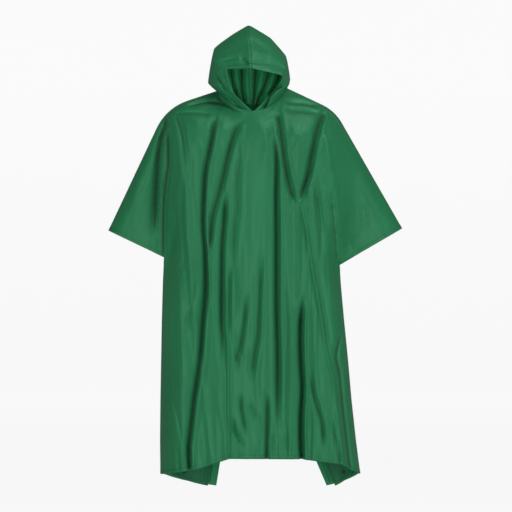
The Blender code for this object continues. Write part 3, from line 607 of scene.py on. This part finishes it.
def sheet_points(across, down, half, drape):
    """The middle of one half's cloth without its wings, and the depth and place of the nearest crease."""
    x, z = (relaxed(grid, across, down) for grid in flat_place(across, down, half))
    outward = ease((np.abs(x) - ARM_INNER_X) / (ARM_OUTER_X - ARM_INNER_X))
    outward = outward * ease((z - UNDERARM_Z) / UNDERARM_FADE)
    full = between(by_height(DEPTHS, half.name, z), ARM_DEPTH, outward)
    fall = np.minimum(down / between(CHEST_ROUND, ARM_ROUND, outward), 1.0)
    from_neck = ease((np.abs(x - NECK_X) - NECK_RADIUS_X) / NECK_FADE)
    over = between(1.0 - (1.0 - fall) ** 2, quarter(fall), from_neck)
    start = top_edge(across, half)[..., 1] * half.sign
    right_x, left_x = (side_edge(side, down, half)[0] for side in SIDES)
    from_side = np.abs(x - np.where(across < 0.5, right_x, left_x))
    beside = ease((down - SIDE_START) / SIDE_RUN_IN) * (1.0 - quarter(from_side / half.side_round))
    depth = relaxed(start + (full - start) * over, across, down)
    folds, strength, place = fold_depth(half.folds, x, z)
    calm = between(SLEEVE_CALM, 1.0, 1.0 - outward) * ease(down / CALM_RUN_IN) * (1.0 - SIDE_CALM * beside)
    slow = drape.ripple * hollows(across * 2 * HALF_WIDTH, down, half) * calm
    upright = np.minimum(1.0, over * 1.25)
    folds *= drape.fold_scale * (1.0 - SIDE_CALM * beside)
    strength *= 1.0 - SIDE_CALM * beside
    depth = depth + slow - folds * upright
    depth = depth + (half.side_depth - depth) * beside
    if half is BACK:
        gather, gather_strength, gather_place = fold_depth(GATHERS, x, z)
        under = behind_head(depth) * ease((z - GATHERS_FLOOR) / 0.04)
        depth = depth + gather * under
        gather_strength = gather_strength * under
        # below the hood the gathers' depth and place take over, for the painted shade in them
        nearer = (gather_strength > 0.001) & (z > GATHERS_FLOOR - 0.01)
        strength, place = np.where(nearer, gather_strength, strength), np.where(nearer, gather_place, place)
    else:
        # paint shade along the cloth's turn over the left shoulder, in place of the nearest crease's
        line = (across > SHOULDER_LINE_START) & (down < 1.5 * SHOULDER_LINE_WIDTH)
        shoulder_shade_strength = PAINTED_SHOULDER_SHADE * ease((across - SHOULDER_LINE_START) / 0.03)
        shoulder_shade_strength = shoulder_shade_strength * (1.0 - 0.75 * ease((across - SHOULDER_LINE_FADE) / 0.10))
        strength = np.where(line, shoulder_shade_strength, strength)
        place = np.where(line, down / SHOULDER_LINE_WIDTH - 0.4, place)
    z = z - TOP_FOLDS * folds * np.sqrt(1.0 - upright ** 2) * ease(down / 0.015)
    return np.stack((x, depth * half.sign, z), -1), strength, place


def by_share(name, share):
    """A column of the wings' table read at shares of the way down the side."""
    return np.interp(share, column(WINGS, "share"), column(WINGS, name))


def wing_points(side, reach, down, half, root):
    """The points of a wing: reach 0 is the fold beside the body, 1 the free edge."""
    share, turn = below_cuff(down), half.wing
    edge_x = by_share(f"{side.name}_x", share) + side.sign * turn.step_x
    edge_y = np.full(edge_x.shape, turn.edge_y)
    edge_z = root[..., 2] - by_share("drop", share)
    t = (reach * by_share(f"{half.name}_reach", share))[..., None]
    first = np.stack((root[..., 0] + side.sign * turn.bow_x, between(root[..., 1], edge_y, turn.back),
                      root[..., 2]), -1)
    second = np.stack((between(root[..., 0], edge_x, turn.inward), edge_y + turn.bow_y,
                       between(root[..., 2], edge_z, WING_DROP_SHARE)), -1)
    edge = np.stack((edge_x, edge_y, edge_z), -1)
    return root * (1 - t) ** 3 + 3 * first * t * (1 - t) ** 2 + 3 * second * t * t * (1 - t) + edge * t ** 3


# ---------------- meshes
NEAR_SHARE = 0.13           # the share of the width at each edge that has the near columns
SLEEVE_ROW = 0.0085
ABOVE_HEM = 0.0145          # the last row over the hem's line
WING_STEPS = 15
HOOD_AROUND_STEPS = 110
HOOD_UP_STEPS = 84


def across_steps(count, near_count):
    """Shares of the width, closer together towards the two edges of the body and sleeves."""
    near = NEAR_SHARE * (np.arange(near_count) / near_count) ** 1.2
    return np.concatenate((near, np.linspace(NEAR_SHARE, 1.0 - NEAR_SHARE, count), 1.0 - near[::-1]))


def down_steps(row_height, near_count):
    """Distances down the cloth, closer together where it turns over the shoulders and in the hem."""
    near = ARM_ROUND * (1.0 - np.cos(np.pi / 2 * np.arange(near_count) / near_count))
    sleeve = np.linspace(ARM_ROUND, CUFF, round((CUFF - ARM_ROUND) / SLEEVE_ROW) + 1)
    body = np.linspace(CUFF, HALF_LENGTH - ABOVE_HEM, round((HALF_LENGTH - CUFF) / row_height))[1:]
    return np.concatenate((near, sleeve, body, (HALF_LENGTH - HEM_DEPTH, HALF_LENGTH - 0.005, HALF_LENGTH)))


def add_piece(name, points, faces, finish, attributes):
    """A smooth mesh object, with a number for each of its points under each attribute's name."""
    mesh = bpy.data.meshes.new(name)
    mesh.from_pydata([tuple(p) for p in points], [], faces)
    for label, values in attributes.items():
        made = mesh.attributes.new(label, "FLOAT", "POINT")
        made.data.foreach_set("value", np.asarray(values, dtype=np.float32))
    mesh.update()
    piece = bpy.data.objects.new(name, mesh)
    bpy.context.scene.collection.objects.link(piece)
    mesh.materials.append(finish)
    mesh.shade_smooth()
    return piece


def apply_modifiers(piece):
    """Make the piece's modifiers part of its mesh."""
    graph = bpy.context.evaluated_depsgraph_get()
    solid = bpy.data.meshes.new_from_object(piece.evaluated_get(graph))
    piece.modifiers.clear()
    piece.data = solid
    solid.shade_smooth()


def give_wall(piece, hem_distance, film):
    """Give an open surface the film's thickness, doubled in the turned hem."""
    group = piece.vertex_groups.new(name="wall")
    thin = film.wall / film.hem_wall
    weights = between(1.0, thin, ease((np.asarray(hem_distance) - HEM_DEPTH) / 0.0015))
    for weight in np.unique(np.round(weights, 2)):
        group.add(np.nonzero(np.round(weights, 2) == weight)[0].tolist(), float(weight), "REPLACE")
    wall = piece.modifiers.new("wall", "SOLIDIFY")
    wall.thickness = film.hem_wall
    wall.offset = 0.0
    wall.vertex_group = group.name
    wall.material_offset = len(piece.data.materials) - 1
    apply_modifiers(piece)
    piece.vertex_groups.clear()


def grid_faces(ids):
    """Faces over a grid of point numbers, in which neighbours may be the same point."""
    faces = []
    for above, below in zip(ids, ids[1:]):
        for corners in zip(above, above[1:], below[1:], below):
            kept = list(dict.fromkeys(corners))
            if len(kept) > 2:
                faces.append(kept)
    return faces


def turned_form(profile, sides):
    """The points and faces of a form turned about Z from radius and height pairs, closed at the last one."""
    turns = [2 * math.pi * k / sides for k in range(sides)]
    points = [(r * math.cos(turn), r * math.sin(turn), z) for r, z in profile for turn in turns]
    ids = [[sides * ring + k % sides for k in range(sides + 1)] for ring in range(len(profile))]
    return points, grid_faces(ids) + [ids[-1][:-1]]


def half_sheet(half, drape):
    """The points, faces and attributes of one half of the body sheet."""
    columns = across_steps(round(drape.columns * half.grid.columns), half.grid.near_columns)
    rows_down = down_steps(half.grid.row_height, half.grid.near_rows)
    across, down = np.meshgrid(columns, rows_down)
    body, strength, place = sheet_points(across, down, half, drape)
    from_cuff = np.minimum(across, 1.0 - across) * 2 * HALF_WIDTH + ease((down - CUFF) / 0.02)
    hem = np.minimum(HALF_LENGTH - down, from_cuff)
    blocks = [np.dstack((body, hem, strength, place)).reshape(-1, 6)]
    ids = np.arange(across.size).reshape(across.shape)
    start = CUFF + half.wing.start * (HALF_LENGTH - CUFF) + 0.0005
    reaches = np.concatenate((np.linspace(0, 1, WING_STEPS)[1:-1], (1 - HEM_DEPTH / WING_WIDTH, 1.0)))
    rows = np.nonzero(rows_down > start)[0]
    total = across.size
    for side, edge in ((SIDES[0], 0), (SIDES[1], -1)):
        wing_ids = np.repeat(ids[:, edge][:, None], len(reaches), 1)
        reach, wing_down = np.meshgrid(reaches, rows_down[rows])
        root = np.repeat(body[rows, edge][:, None, :], len(reaches), 1)
        wing = wing_points(side, reach, wing_down, half, root)
        wave = slow_noise(reach * 2.6 + side.sign, wing_down / 0.16, 51 + half.sign + side.sign)
        wing[..., 1] += 0.0016 * wave * ease(reach / 0.3) * ease((wing_down - start) / 0.15)
        wing_ids[rows] = total + np.arange(reach.size).reshape(reach.shape)
        total += reach.size
        from_edge = (1.0 - reach) * by_share(f"{half.name}_reach", below_cuff(wing_down)) * WING_WIDTH
        hem = np.minimum(HALF_LENGTH - wing_down, from_edge)
        flat, far = np.zeros(reach.shape), np.full(reach.shape, FAR)
        blocks.append(np.dstack((wing, hem, flat, far)).reshape(-1, 6))
        ids = np.hstack((wing_ids[:, ::-1], ids)) if edge == 0 else np.hstack((ids, wing_ids))
    table = np.concatenate(blocks)
    # the nearest crease's depth and the place beside it, from which the finish paints shade in the creases
    # and a highlight beside them
    attributes = {"hem": table[:, 3], "fold": table[:, 4], **as_turn(table[:, 5])}
    return table[:, :3], grid_faces(ids.tolist()), attributes


def hood_section(side, turn):
    """The four shaping points of one half of the hood at a turn round the neck hole."""
    rows = []
    for row in HOOD:
        gap = side.sign * HOOD_SEAM_GAP
        seam = np.array((row.seam_x + gap, row.seam_y, row.seam_z))
        low_x, low_z, high_x, high_z = (getattr(row, f"{side.name}_{name}") for name in CORNER_NAMES)
        low = np.array((low_x + gap, row.side_y, low_z))
        high = np.array((high_x + gap, row.side_y, high_z))
        rise = BROW_RISE[side.name] * min(row.turn / HOOD[2].turn, 1.0)
        forward = BROW_FORWARD * (seam[1] - high[1])
        brow = between(high, seam, BROW_SHARE[side.name]) + np.array((0.0, forward, rise))
        rows.append(np.concatenate((low, high, brow, seam)))
    section = spline(column(HOOD, "turn"), rows, turn)
    return [section[k:k + 3] for k in (0, 3, 6, 9)]


def hood_half(side):
    """The points, faces and attributes of one half of the hood."""
    turns = column(HOOD, "turn")
    points, hems = [], []
    ups = np.concatenate((np.linspace(0, HOOD_SEAM_START, HOOD_UP_STEPS - 3), (0.985, 0.993, 1.0)))
    arounds = np.concatenate((np.linspace(0.0, 0.05, 8), np.linspace(0.056, 1.0, HOOD_AROUND_STEPS - 8)))
    for around in arounds:
        turn = float(between(turns[0], turns[-1], around))
        low, high, brow, seam = hood_section(side, turn)
        neck = neck_points(np.array(-side.sign * (turn - THROAT_CLOSE * (1.0 - around))))
        inward = np.array((-math.copysign(0.5, neck[0] - NECK_X), -math.copysign(0.5, neck[1]), -1.0))
        neck += NECK_TUCK * inward
        if around == 1.0:
            neck[0] = seam[0]
        shape = (neck, low, high, brow, seam)
        for up in ups:
            straight = np.array([np.interp(up, HOOD_UP_KNOTS, axis) for axis in zip(*shape)])
            point = between(spline(HOOD_UP_KNOTS, shape, up), straight, HOOD_CORNERS)
            roll = ease((up - HOOD_SEAM_START) / (1.0 - HOOD_SEAM_START)) * HOOD_SEAM_ROLL
            inward = HOOD_MIDDLE - point
            points.append(point + inward / np.linalg.norm(inward) * roll)
            hems.append(around * HOOD_DEPTH)
    points, hems = np.array(points), np.array(hems)
    x, y, z = points.T
    behind = behind_head(y)
    gather, gather_strength, gather_place = fold_depth(GATHERS, x, z)
    crease, strength, place = fold_depth(HOOD_CREASES, x, z)
    before = ease((0.0 - y) / 0.03)
    # where the finish paints shade in the gathers and creases and a highlight beside them
    strength = np.where(y > 0, gather_strength * behind, strength * before)
    place = np.where(y > 0, gather_place, place)
    wave = 0.0022 * slow_noise(x / 0.035 + 5, z / 0.05 + y / 0.05 + 5, 71) * ease(hems / 0.03)
    rolled = np.clip(1.0 - hems / (HOOD_DEPTH * BRIM_ROLL_SHARE), 0.0, 1.0) ** 2 * BRIM_ROLL
    points[:, 1] += gather * behind + crease * before + wave + rolled
    ids = np.arange(len(points)).reshape(len(arounds), len(ups))
    return points, grid_faces(ids.tolist()), {"hem": hems, "fold": strength, **as_turn(place)}


# ---------------- finishes
class Signal:
    """A shader socket on which Python's arithmetic adds Math nodes."""

    def __init__(self, finish, socket):
        self.finish = finish
        self.socket = socket

    def math(self, operation, *values):
        return self.finish.signal("ShaderNodeMath", {"operation": operation}, dict(enumerate(values)))

    def __add__(self, other):
        return self.math("ADD", self, other)

    def __sub__(self, other):
        return self.math("SUBTRACT", self, other)

    def __rsub__(self, other):
        return self.math("SUBTRACT", other, self)

    def __mul__(self, other):
        return self.math("MULTIPLY", self, other)

    def rises(self, low, high):
        """0 below low and 1 above high, smooth between."""
        sockets = {"Value": self, "From Min": low, "From Max": high}
        return self.finish.signal("ShaderNodeMapRange", {"interpolation_type": "SMOOTHSTEP"}, sockets)

    __radd__ = __add__
    __rmul__ = __mul__


class Finish:
    """A material that is built node by node."""

    def __init__(self, name):
        self.material = bpy.data.materials.new(name)
        self.material.use_nodes = True
        self.tree = self.material.node_tree
        self.shader = self.tree.nodes["Principled BSDF"]

    def node(self, kind, settings=None, sockets=None):
        """A node of a kind; its settings are set first, and then the values or links of its sockets."""
        made = self.tree.nodes.new(kind)
        for name, value in (settings or {}).items():
            setattr(made, name, value)
        self.fill(made, sockets or {})
        return made

    def fill(self, made, sockets):
        for name, value in sockets.items():
            if isinstance(value, Signal):
                self.tree.links.new(value.socket, made.inputs[name])
            else:
                made.inputs[name].default_value = value

    def signal(self, kind, settings=None, sockets=None, output=0):
        """One output of a new node."""
        return Signal(self, self.node(kind, settings, sockets).outputs[output])

    def attribute(self, name):
        return self.signal("ShaderNodeAttribute", {"attribute_name": name}, output="Fac")

    def noise(self, stretch, scale, detail=2.0, roughness=0.5):
        """Noise over the piece's own coordinates, stretched along each axis."""
        place = self.signal("ShaderNodeTexCoord", output="Object")
        moved = self.signal("ShaderNodeMapping", None, {"Vector": place, "Scale": stretch})
        sockets = {"Vector": moved, "Scale": scale, "Detail": detail, "Roughness": roughness}
        return self.signal("ShaderNodeTexNoise", None, sockets, "Fac")

    def mix(self, factor, first, second):
        """A colour between two colours."""
        return self.signal("ShaderNodeMix", {"data_type": "RGBA"}, {0: factor, 6: first, 7: second}, 2)

    def bump(self, height, distance, below=None):
        """The surface's direction with a height's relief, laid over the relief below."""
        sockets = {"Height": height, "Distance": distance, "Strength": 1.0}
        if below is not None:
            sockets["Normal"] = below
        return self.signal("ShaderNodeBump", None, sockets, "Normal")


def film_finish(name, film, colour):
    """Smooth coated film: a soft sheen, faint crinkles, a pressed hem line, painted shade down in its folds
    and a painted highlight beside its creases.
    """
    finish = Finish(name)
    hem, depth = finish.attribute("hem"), finish.attribute("fold")
    cosine, sine = finish.attribute("beside_cos"), finish.attribute("beside_sin")
    beside = sine.math("ARCTAN2", sine, cosine) * (FAR / math.pi)
    patches = finish.noise((1.0, 1.0, 0.35), 9.0, 3.0)
    streaks = finish.noise((1.0, 1.0, 0.06), 120.0, 3.0, 0.6)
    crinkle = finish.noise((1.0, 1.0, 0.22), 46.0, 4.0, 0.55)
    grain = finish.noise((1.0, 1.0, 1.0), 900.0, 1.0)
    base = (*colour, 1.0)
    # a paler copy of the film's colour, for its random patches of tone and for the painted highlight beside
    # the creases
    light = tuple(c * film.sheen for c in colour) + (1.0,)
    tone = finish.mix((patches - 0.5) * 0.7 + (streaks - 0.5) * 0.25 + 0.3, base, light)
    # painted shade down in each crease, soft on its -X side and crisp on its +X side, as strong as the crease
    # is deep
    shadow = beside.rises(-1.05, -0.10) * (1.0 - beside.rises(0.16, 0.50))
    painted_fold_shade = depth.rises(0.005, 0.024) * shadow
    line = hem.rises(0.0096, 0.0108) * (1.0 - hem.rises(0.0112, 0.0124))
    lined = finish.mix(line * 0.55, tone, (*film.fold_shade_and_hem_line_colour, 1.0))
    # a painted highlight along the +X side of each crease
    lit_edge = beside.rises(0.6, 0.9) * (1.0 - beside.rises(1.0, 1.6)) * depth.rises(0.002, 0.012)
    edged = finish.mix(lit_edge * 0.55, lined, light)
    shaded = finish.mix(painted_fold_shade * 0.90, edged, (*film.fold_shade_and_hem_line_colour, 1.0))
    in_hem = 1.0 - hem.rises(0.0104, 0.0116)
    rough = film.roughness + (patches - 0.5) * 0.12 + (crinkle - 0.5) * 0.08 + painted_fold_shade * 0.45
    normal = finish.bump(crinkle, 0.0016)
    normal = finish.bump(in_hem, 0.0006, normal)
    normal = finish.bump(grain, 0.00006, normal)
    finish.fill(finish.shader, {"Base Color": shaded, "Roughness": rough, "Normal": normal,
                                "Coat Weight": 0.02, "Coat Roughness": 0.30, "Specular IOR Level": 0.26,
                                "Specular Tint": (0.42, 1.0, 0.68, 1.0)})
    return finish.material


def stud_finish(name, colour):
    """Moulded plastic with a satin skin."""
    finish = Finish(name)
    marks = finish.noise((1.0, 1.0, 1.0), 700.0, 3.0)
    tone = finish.mix(marks * 0.6, (*colour, 1.0), tuple(c * 1.8 for c in colour) + (1.0,))
    rough, normal = 0.30 + marks * 0.16, finish.bump(marks, 0.00005)
    finish.fill(finish.shader, {"Base Color": tone, "Roughness": rough, "Normal": normal})
    return finish.material


def floor_finish(name):
    finish = Finish(name)
    mottle = finish.noise((1.0, 1.0, 1.0), 3.0)
    tone = finish.mix(mottle, (0.115, 0.115, 0.115, 1.0), (0.120, 0.120, 0.120, 1.0))
    finish.fill(finish.shader, {"Base Color": tone, "Roughness": 0.9, "Specular IOR Level": 0.1,
                                "Emission Color": (1.0, 1.0, 1.0, 1.0), "Emission Strength": 0.885})
    return finish.material


def shared_finish(name, make, *settings):
    return bpy.data.materials.get(name) or make(name, *settings)


# ---------------- operators
class PONCHO_OT_body_sheet(Operator):
    """Drape the body sheet: front, back and side wings in one piece"""
    bl_idname = "poncho.body_sheet"
    bl_label = "Body Sheet"

    def execute(self, context):
        film, drape = context.scene.poncho_film, context.scene.poncho_drape
        halves = [half_sheet(half, drape) for half in (FRONT, BACK)]
        points = np.concatenate([half[0] for half in halves])
        offset = len(halves[0][0])
        front_faces = [corners[::-1] for corners in halves[0][1]]
        faces = front_faces + [[i + offset for i in corners] for corners in halves[1][1]]
        attributes = {name: np.concatenate([half[2][name] for half in halves]) for name in halves[0][2]}
        finish = shared_finish("green_film", film_finish, film, film.colour)
        piece = add_piece("poncho_sheet", points, faces, finish, attributes)
        # the inner face takes the paler copy, painted light for the shaded wings and the insides of the
        # sleeves
        piece.data.materials.append(shared_finish("green_film_inside", film_finish, film, film.lit_inside_colour))
        join = bmesh.new()
        join.from_mesh(piece.data)
        top = [v for v in join.verts if abs(v.co.y) < 1e-5]
        bmesh.ops.remove_doubles(join, verts=top, dist=1e-5)
        join.to_mesh(piece.data)
        join.free()
        kept = piece.data.attributes["hem"]
        distances = np.zeros(len(piece.data.vertices), np.float32)
        kept.data.foreach_get("value", distances)
        give_wall(piece, distances, film)
        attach(piece, "root")
        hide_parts("front_panel", "back_panel")
        return {"FINISHED"}


class PONCHO_OT_hood(Operator):
    """Set up the hood's two halves, joined down the middle"""
    bl_idname = "poncho.hood"
    bl_label = "Hood"

    def execute(self, context):
        film = context.scene.poncho_film
        finish = shared_finish("green_film", film_finish, film, film.colour)
        # the hood's inner face takes the paler copy, painted light for the shaded inside of the hood
        lit_hood_lining = shared_finish("green_film_in_hood", film_finish, film, film.hood_colour)
        for side in SIDES:
            points, faces, attributes = hood_half(side)
            if side.sign * HOOD_WINDING < 0:
                faces = [corners[::-1] for corners in faces]
            piece = add_piece(f"hood_shell_{side.name}", points, faces, finish, attributes)
            piece.data.materials.append(lit_hood_lining)
            give_wall(piece, attributes["hem"], film)
            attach(piece, "root")
            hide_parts(f"hood_{side.name}")
        return {"FINISHED"}


# shares of a cap's radius and the heights there, from the cloth up
STUD_PROFILE = ((1.0, 0.0), (1.0, 0.0005), (0.95, 0.0010), (0.84, 0.0013), (0.66, 0.0014), (0.58, 0.0012),
                (0.34, 0.0010), (0.10, 0.0010))
STUD_SIDES = 32
STUD_SINK = 0.0002          # how far a cap's base lies in the film


class PONCHO_OT_press_studs(Operator):
    """Set the fastened press studs' caps on the side wings"""
    bl_idname = "poncho.press_studs"
    bl_label = "Press Studs"

    def execute(self, context):
        studs = context.scene.poncho_studs
        finish = shared_finish("press_stud", stud_finish, tuple(studs.colour))
        sheet = bpy.data.objects["poncho_sheet"]
        tree = BVHTree.FromObject(sheet, context.evaluated_depsgraph_get())
        for node in sorted(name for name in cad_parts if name.startswith("snap_")):
            low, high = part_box(node)
            middle = (low + high) / 2
            spot, normal, _, _ = tree.find_nearest(middle)
            if (middle - spot).dot(normal) < 0:
                normal = -normal
            profile = [(studs.radius * share, height) for share, height in STUD_PROFILE]
            points, faces = turned_form(profile, STUD_SIDES)
            faces.append(list(range(STUD_SIDES))[::-1])
            piece = add_piece(node.replace("snap", "stud"), points, faces, finish, {})
            piece.data.transform(normal.to_track_quat("Z", "Y").to_matrix().to_4x4())
            piece.data.transform(Matrix.Translation(spot - normal * STUD_SINK))
            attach(piece, "root")
            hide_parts(node)
        return {"FINISHED"}


Lamp = namedtuple("Lamp", "name place size power")
LAMPS = (
    Lamp("key_light", (-2.6, -4.0, 1.3), 1.5, 41.0),
    Lamp("front_light", (0.4, -6.0, 0.2), 1.2, 44.0),
    Lamp("low_light", (0.2, -5.5, -0.9), 0.8, 24.0),
    Lamp("fill_light", (3.2, -3.0, 0.2), 2.0, 27.0),
    Lamp("top_light", (1.9, -3.0, 3.2), 1.8, 78.0),
    Lamp("overhead_light", (0.8, -0.8, 3.4), 2.4, 46.0),
)
LAMP_TARGET = Vector((0.0, 0.0, -0.45))
SKY_STRENGTH = 0.12
FLOOR_SIDES = 96
FLOOR_RADIUS = 14.0         # out to where the floor begins to bend up into the backdrop
FLOOR_BEND = 2.0
BACKDROP_HEIGHT = 5.0


class PONCHO_OT_stage(Operator):
    """Set the floor, backdrop, lights and camera"""
    bl_idname = "poncho.stage"
    bl_label = "Stage"

    def execute(self, context):
        scene, stage = context.scene, context.scene.poncho_stage
        # from the top of the backdrop down round the bend and in over the floor
        bend = [(FLOOR_RADIUS + FLOOR_BEND * math.sin(a), stage.floor + FLOOR_BEND * (1.0 - math.cos(a)))
                for a in np.linspace(math.pi / 2, 0, 13)]
        top = (FLOOR_RADIUS + FLOOR_BEND, stage.floor + BACKDROP_HEIGHT)
        points, faces = turned_form([top] + bend + [(4.0, stage.floor), (0.05, stage.floor)], FLOOR_SIDES)
        floor = add_piece("pale_floor", points, faces, shared_finish("pale_floor", floor_finish), {})
        floor.visible_glossy = False

        for lamp in LAMPS:
            data = bpy.data.lights.new(lamp.name, "AREA")
            data.size = lamp.size
            data.energy = lamp.power
            made = bpy.data.objects.new(lamp.name, data)
            made.location = lamp.place
            made.rotation_euler = (LAMP_TARGET - made.location).to_track_quat("-Z", "Y").to_euler()
            scene.collection.objects.link(made)

        world = scene.world or bpy.data.worlds.new("studio")
        scene.world = world
        world.use_nodes = True
        sky = world.node_tree.nodes["Background"].inputs
        sky["Color"].default_value = (1.0, 1.0, 1.0, 1.0)
        sky["Strength"].default_value = SKY_STRENGTH

        data = bpy.data.cameras.new("camera")
        data.sensor_width = 36.0
        data.lens = data.sensor_width * stage.distance / stage.view_width
        data.clip_end = 100.0
        camera = bpy.data.objects.new("camera", data)
        camera.location = (0.0, -stage.distance, stage.view_height)
        camera.rotation_euler = (math.pi / 2, 0.0, 0.0)
        scene.collection.objects.link(camera)
        scene.camera = camera
        scene.view_settings.view_transform = "Standard"
        return {"FINISHED"}


class PONCHO_PT_panel(Panel):
    """The poncho's settings and the buttons that build it"""
    bl_label = "Rain Poncho"
    bl_space_type = "VIEW_3D"
    bl_region_type = "UI"
    bl_category = "Poncho"

    def draw(self, context):
        for label, group, operators in (("Film", "poncho_film", ()),
                                        ("Drape", "poncho_drape", (PONCHO_OT_body_sheet, PONCHO_OT_hood)),
                                        ("Press studs", "poncho_studs", (PONCHO_OT_press_studs,)),
                                        ("Stage", "poncho_stage", (PONCHO_OT_stage,))):
            box = self.layout.box()
            box.label(text=label)
            settings = getattr(context.scene, group)
            for name in settings.__annotations__:
                box.prop(settings, name)
            for operator in operators:
                box.operator(operator.bl_idname)


SETTINGS = {"poncho_film": FilmSettings, "poncho_drape": DrapeSettings, "poncho_studs": StudSettings,
            "poncho_stage": StageSettings}
CLASSES = (*SETTINGS.values(), PONCHO_OT_body_sheet, PONCHO_OT_hood, PONCHO_OT_press_studs, PONCHO_OT_stage,
           PONCHO_PT_panel)


def register():
    for cls in CLASSES:
        bpy.utils.register_class(cls)
    for name, cls in SETTINGS.items():
        setattr(bpy.types.Scene, name, PointerProperty(type=cls))


def unregister():
    for name in SETTINGS:
        delattr(bpy.types.Scene, name)
    for cls in reversed(CLASSES):
        bpy.utils.unregister_class(cls)


def main():
    register()
    bpy.ops.poncho.body_sheet()
    bpy.ops.poncho.hood()
    bpy.ops.poncho.press_studs()
    bpy.ops.poncho.stage()


if __name__ == "__main__":
    main()
